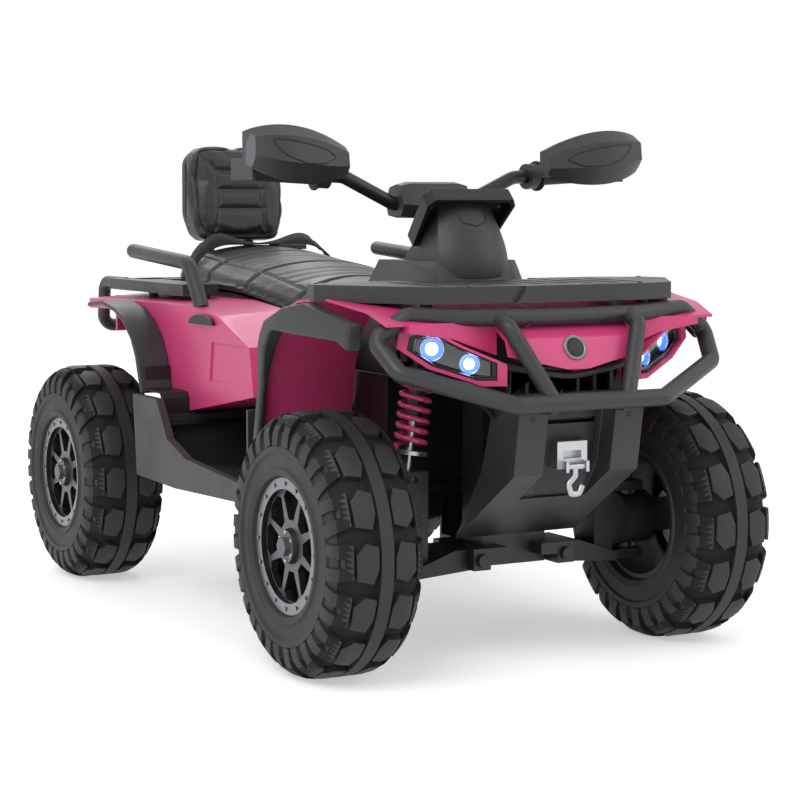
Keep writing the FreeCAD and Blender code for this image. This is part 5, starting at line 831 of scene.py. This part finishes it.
bmesh.ops.inset_individual(linerBm, faces=[face], thickness=liner["noseInset"] * mm)
bmesh.ops.translate(linerBm, verts=face.verts, vec=Vector((0, liner["noseSink"], 0)) * mm)
liners["noseLiner"] = linerBm
for name, linerBm in liners.items():
    sheet = roundEdges(thicken(newPiece(name, linerBm), liner["thick"]), liner["edge"], 2)
    finishPiece(sheet, "chassis", blackPp)


# a plain roundel on the nose: a dark dished face in a bright ring

roundelBm = turned([(reach, -rise) for reach, rise in roundel["line"]], roundel["steps"])
for face in roundelBm.faces:
    spot = face.calc_center_median()
    face.material_index = 1 if math.hypot(spot.x, spot.z) > roundel["ringIn"] * mm else 0
stand = nosePlace @ Matrix.Translation(Vector((0, 0, roundel["up"])) * mm)
bmesh.ops.transform(roundelBm, matrix=stand, verts=roundelBm.verts)
bmesh.ops.recalc_face_normals(roundelBm, faces=roundelBm.faces)
finishPiece(newPiece("noseRoundel", roundelBm), "chassis", (blackPp, silverPaint))
print("liners and roundel ready")


# a bar under the nose that follows its lower edge
chin = {"line": ((-108, -641, 462), (-60, -645, 454), (-30, -646, 449), (0, -646, 446), (30, -646, 449),
                 (60, -645, 454), (108, -641, 462)), "radius": 5.5}
chinBar = newPiece("chinBar", cordsTogether([[Vector(spot) * mm for spot in chin["line"]]], chin["radius"]))
finishPiece(chinBar, "chassis", charcoalPp)


# winch recess: lined in black, with louvre bars above the fairlead
recess = {"field": ((-50, 398), (50, 398), (50, 300), (30, 262), (-30, 262), (-50, 300)), "ahead": -800,
          "lift": 0.4, "thick": 1, "edge": 0.2, "bars": (398, 382, 366), "reach": 46, "barRadius": 3.2}
skin = frame["nodes"]["skid_plate"].data
field = [Vector((x, recess["ahead"], z)) * mm for x, z in recess["field"]]
fieldSkin = skinInside(skin, field, rearward)
plate = plateFrom("winchLining", fieldSkin, recess["lift"], recess["thick"], recess["edge"])
finishPiece(plate, "chassis", blackPp)
level = hitOn(treeOf(skin), Vector((0, recess["ahead"], recess["bars"][0])) * mm, rearward)[0].y
bars = [[Vector((x * mm, level, high * mm)) for x in (-recess["reach"], 0, recess["reach"])]
        for high in recess["bars"]]
louvres = newPiece("winchLouvres", cordsTogether(bars, recess["barRadius"]))
finishPiece(louvres, "chassis", charcoalPp)


# dash: a shallow chevron under the panel, and on each side of the collar a black plate that stands for the
# shade in a sunk field: painted shade
dash = {"ahead": -600, "chevron": ((-26, 678), (-21, 666), (0, 660), (21, 666), (26, 678)), "chevronStep": 4,
        "line": 1.2, "lift": 0.3, "thick": 0.8, "edge": 0.2,
        "field": ((-98, 594), (-91, 600), (-68, 591), (-66, 567), (-86, 564), (-98, 582))}
skin = frame["nodes"]["dash_cowl"].data
cowlTree = treeOf(skin)
chevron = along([Vector((x, dash["ahead"], z)) * mm for x, z in dash["chevron"]], dash["chevronStep"])
groove = cordsTogether([[hitOn(cowlTree, spot, rearward)[0] for spot in chevron]], dash["line"])
finishPiece(newPiece("dashChevron", groove), "chassis", blackPp)
# black plates laid on the cowl for the shade in the sunk fields: painted shade
for name, side in sides.items():
    field = [Vector((-x * side, dash["ahead"], z)) * mm for x, z in dash["field"]]
    fieldSkin = skinInside(skin, field, rearward)
    plate = plateFrom(f"dashShadeField{name}", fieldSkin, dash["lift"], dash["thick"], dash["edge"])
    finishPiece(plate, "chassis", blackPp)
print("chin bar and dash ready")


# screws where the panels are fixed: node, places in mm that they are driven from, way, radius and finish

fixings = {
    "dashScrews": ("dash_panel", [(x, -700, 690) for x in (-62, 62)], rearward, 3.4, zincSteel),
    "bumperScrews": ("front_bumper", [(x, -800, 524) for x in (-64, 64, -254, 254)], rearward, 4.6, powderCoat),
    "skidScrews": ("skid_plate", [(x, -800, 388) for x in (-84, 84)], rearward, 4.6, powderCoat),
    "rackScrews": ("front_rack", [(-150, -604, 700), (150, -604, 700), (-292, -400, 700), (292, -400, 700)],
                   downward, 4.2, powderCoat),
}
for name, (node, places, way, radius, finish) in fixings.items():
    nodeTree = treeOf(frame["nodes"][node].data)
    screwsBm = bmesh.new()
    for place in places:
        spot, normal = hitOn(nodeTree, Vector(place) * mm, way)
        addScrew(screwsBm, spot, normal, radius)
    finishPiece(newPiece(name, screwsBm), bodyOf[node], finish)
print("screws in")


# floor, light and camera

studio = {"floorSize": 60, "glow": 0.46, "fillLight": 0.58, "backdrop": 1.0, "aim": (0, 0, 0.4)}


# 1 for what is seen straight, mirrored or through the lenses
def seenBy(tree):
    path = addNode(tree, "ShaderNodeLightPath")
    seen = addNode(tree, "ShaderNodeMath", {0: path.outputs["Is Camera Ray"], 1: path.outputs["Is Glossy Ray"]},
                   operation="MAXIMUM")
    seen = addNode(tree, "ShaderNodeMath", {0: seen.outputs[0], 1: path.outputs["Is Transmission Ray"]},
                   operation="MAXIMUM")
    return seen.outputs[0]


floorBm = bmesh.new()
bmesh.ops.create_grid(floorBm, x_segments=1, y_segments=1, size=studio["floorSize"])
floor = newPiece("studioFloor", floorBm)
floorPaint, tree, shader = newMaterial("white studio floor", Base_Color=linear("#F4F4F4"), Roughness=0.9,
                                       Emission_Color=linear("#FFFFFF"))
glow = addNode(tree, "ShaderNodeMath", {0: seenBy(tree), 1: studio["glow"]}, operation="MULTIPLY")
tree.links.new(glow.outputs[0], shader.inputs["Emission Strength"])
floor.data.materials.append(floorPaint)

world = bpy.data.worlds.new("studio")
scene.world = world
world.use_nodes = True
tree = world.node_tree
strength = addNode(tree, "ShaderNodeMapRange", {"Value": seenBy(tree), "To Min": studio["fillLight"],
                                                "To Max": studio["backdrop"]})
tree.nodes["Background"].inputs["Color"].default_value = linear("#FFFFFF")
tree.links.new(strength.outputs["Result"], tree.nodes["Background"].inputs["Strength"])

lampSetup = {
    "key": {"place": (-2.6, -2.2, 3.2), "size": 2.4, "power": 70},
    "fill": {"place": (2.8, -2.6, 2.2), "size": 2.6, "power": 24},
    "rim": {"place": (0.6, 3.2, 3.0), "size": 2.2, "power": 34},
}
for name, setup in lampSetup.items():
    data = bpy.data.lights.new(name, "AREA")
    data.size = setup["size"]
    data.energy = setup["power"]
    light = bpy.data.objects.new(name, data)
    light.location = setup["place"]
    light.rotation_euler = (Vector(studio["aim"]) - light.location).to_track_quat("-Z", "Y").to_euler()
    scene.collection.objects.link(light)

cameraSetup = {"place": (-1.6798, -3.1713, 0.699), "yaw": 28.905, "pitch": 5.459, "lens": 93.64, "sensor": 36}
cameraData = bpy.data.cameras.new("photo camera")
cameraData.lens = cameraSetup["lens"]
cameraData.sensor_width = cameraSetup["sensor"]
camera = bpy.data.objects.new("photo camera", cameraData)
camera.location = cameraSetup["place"]
camera.rotation_euler = (math.radians(90 - cameraSetup["pitch"]), 0, math.radians(-cameraSetup["yaw"]))
scene.collection.objects.link(camera)
scene.camera = camera
scene.view_settings.view_transform = "Standard"
print("stage ready")
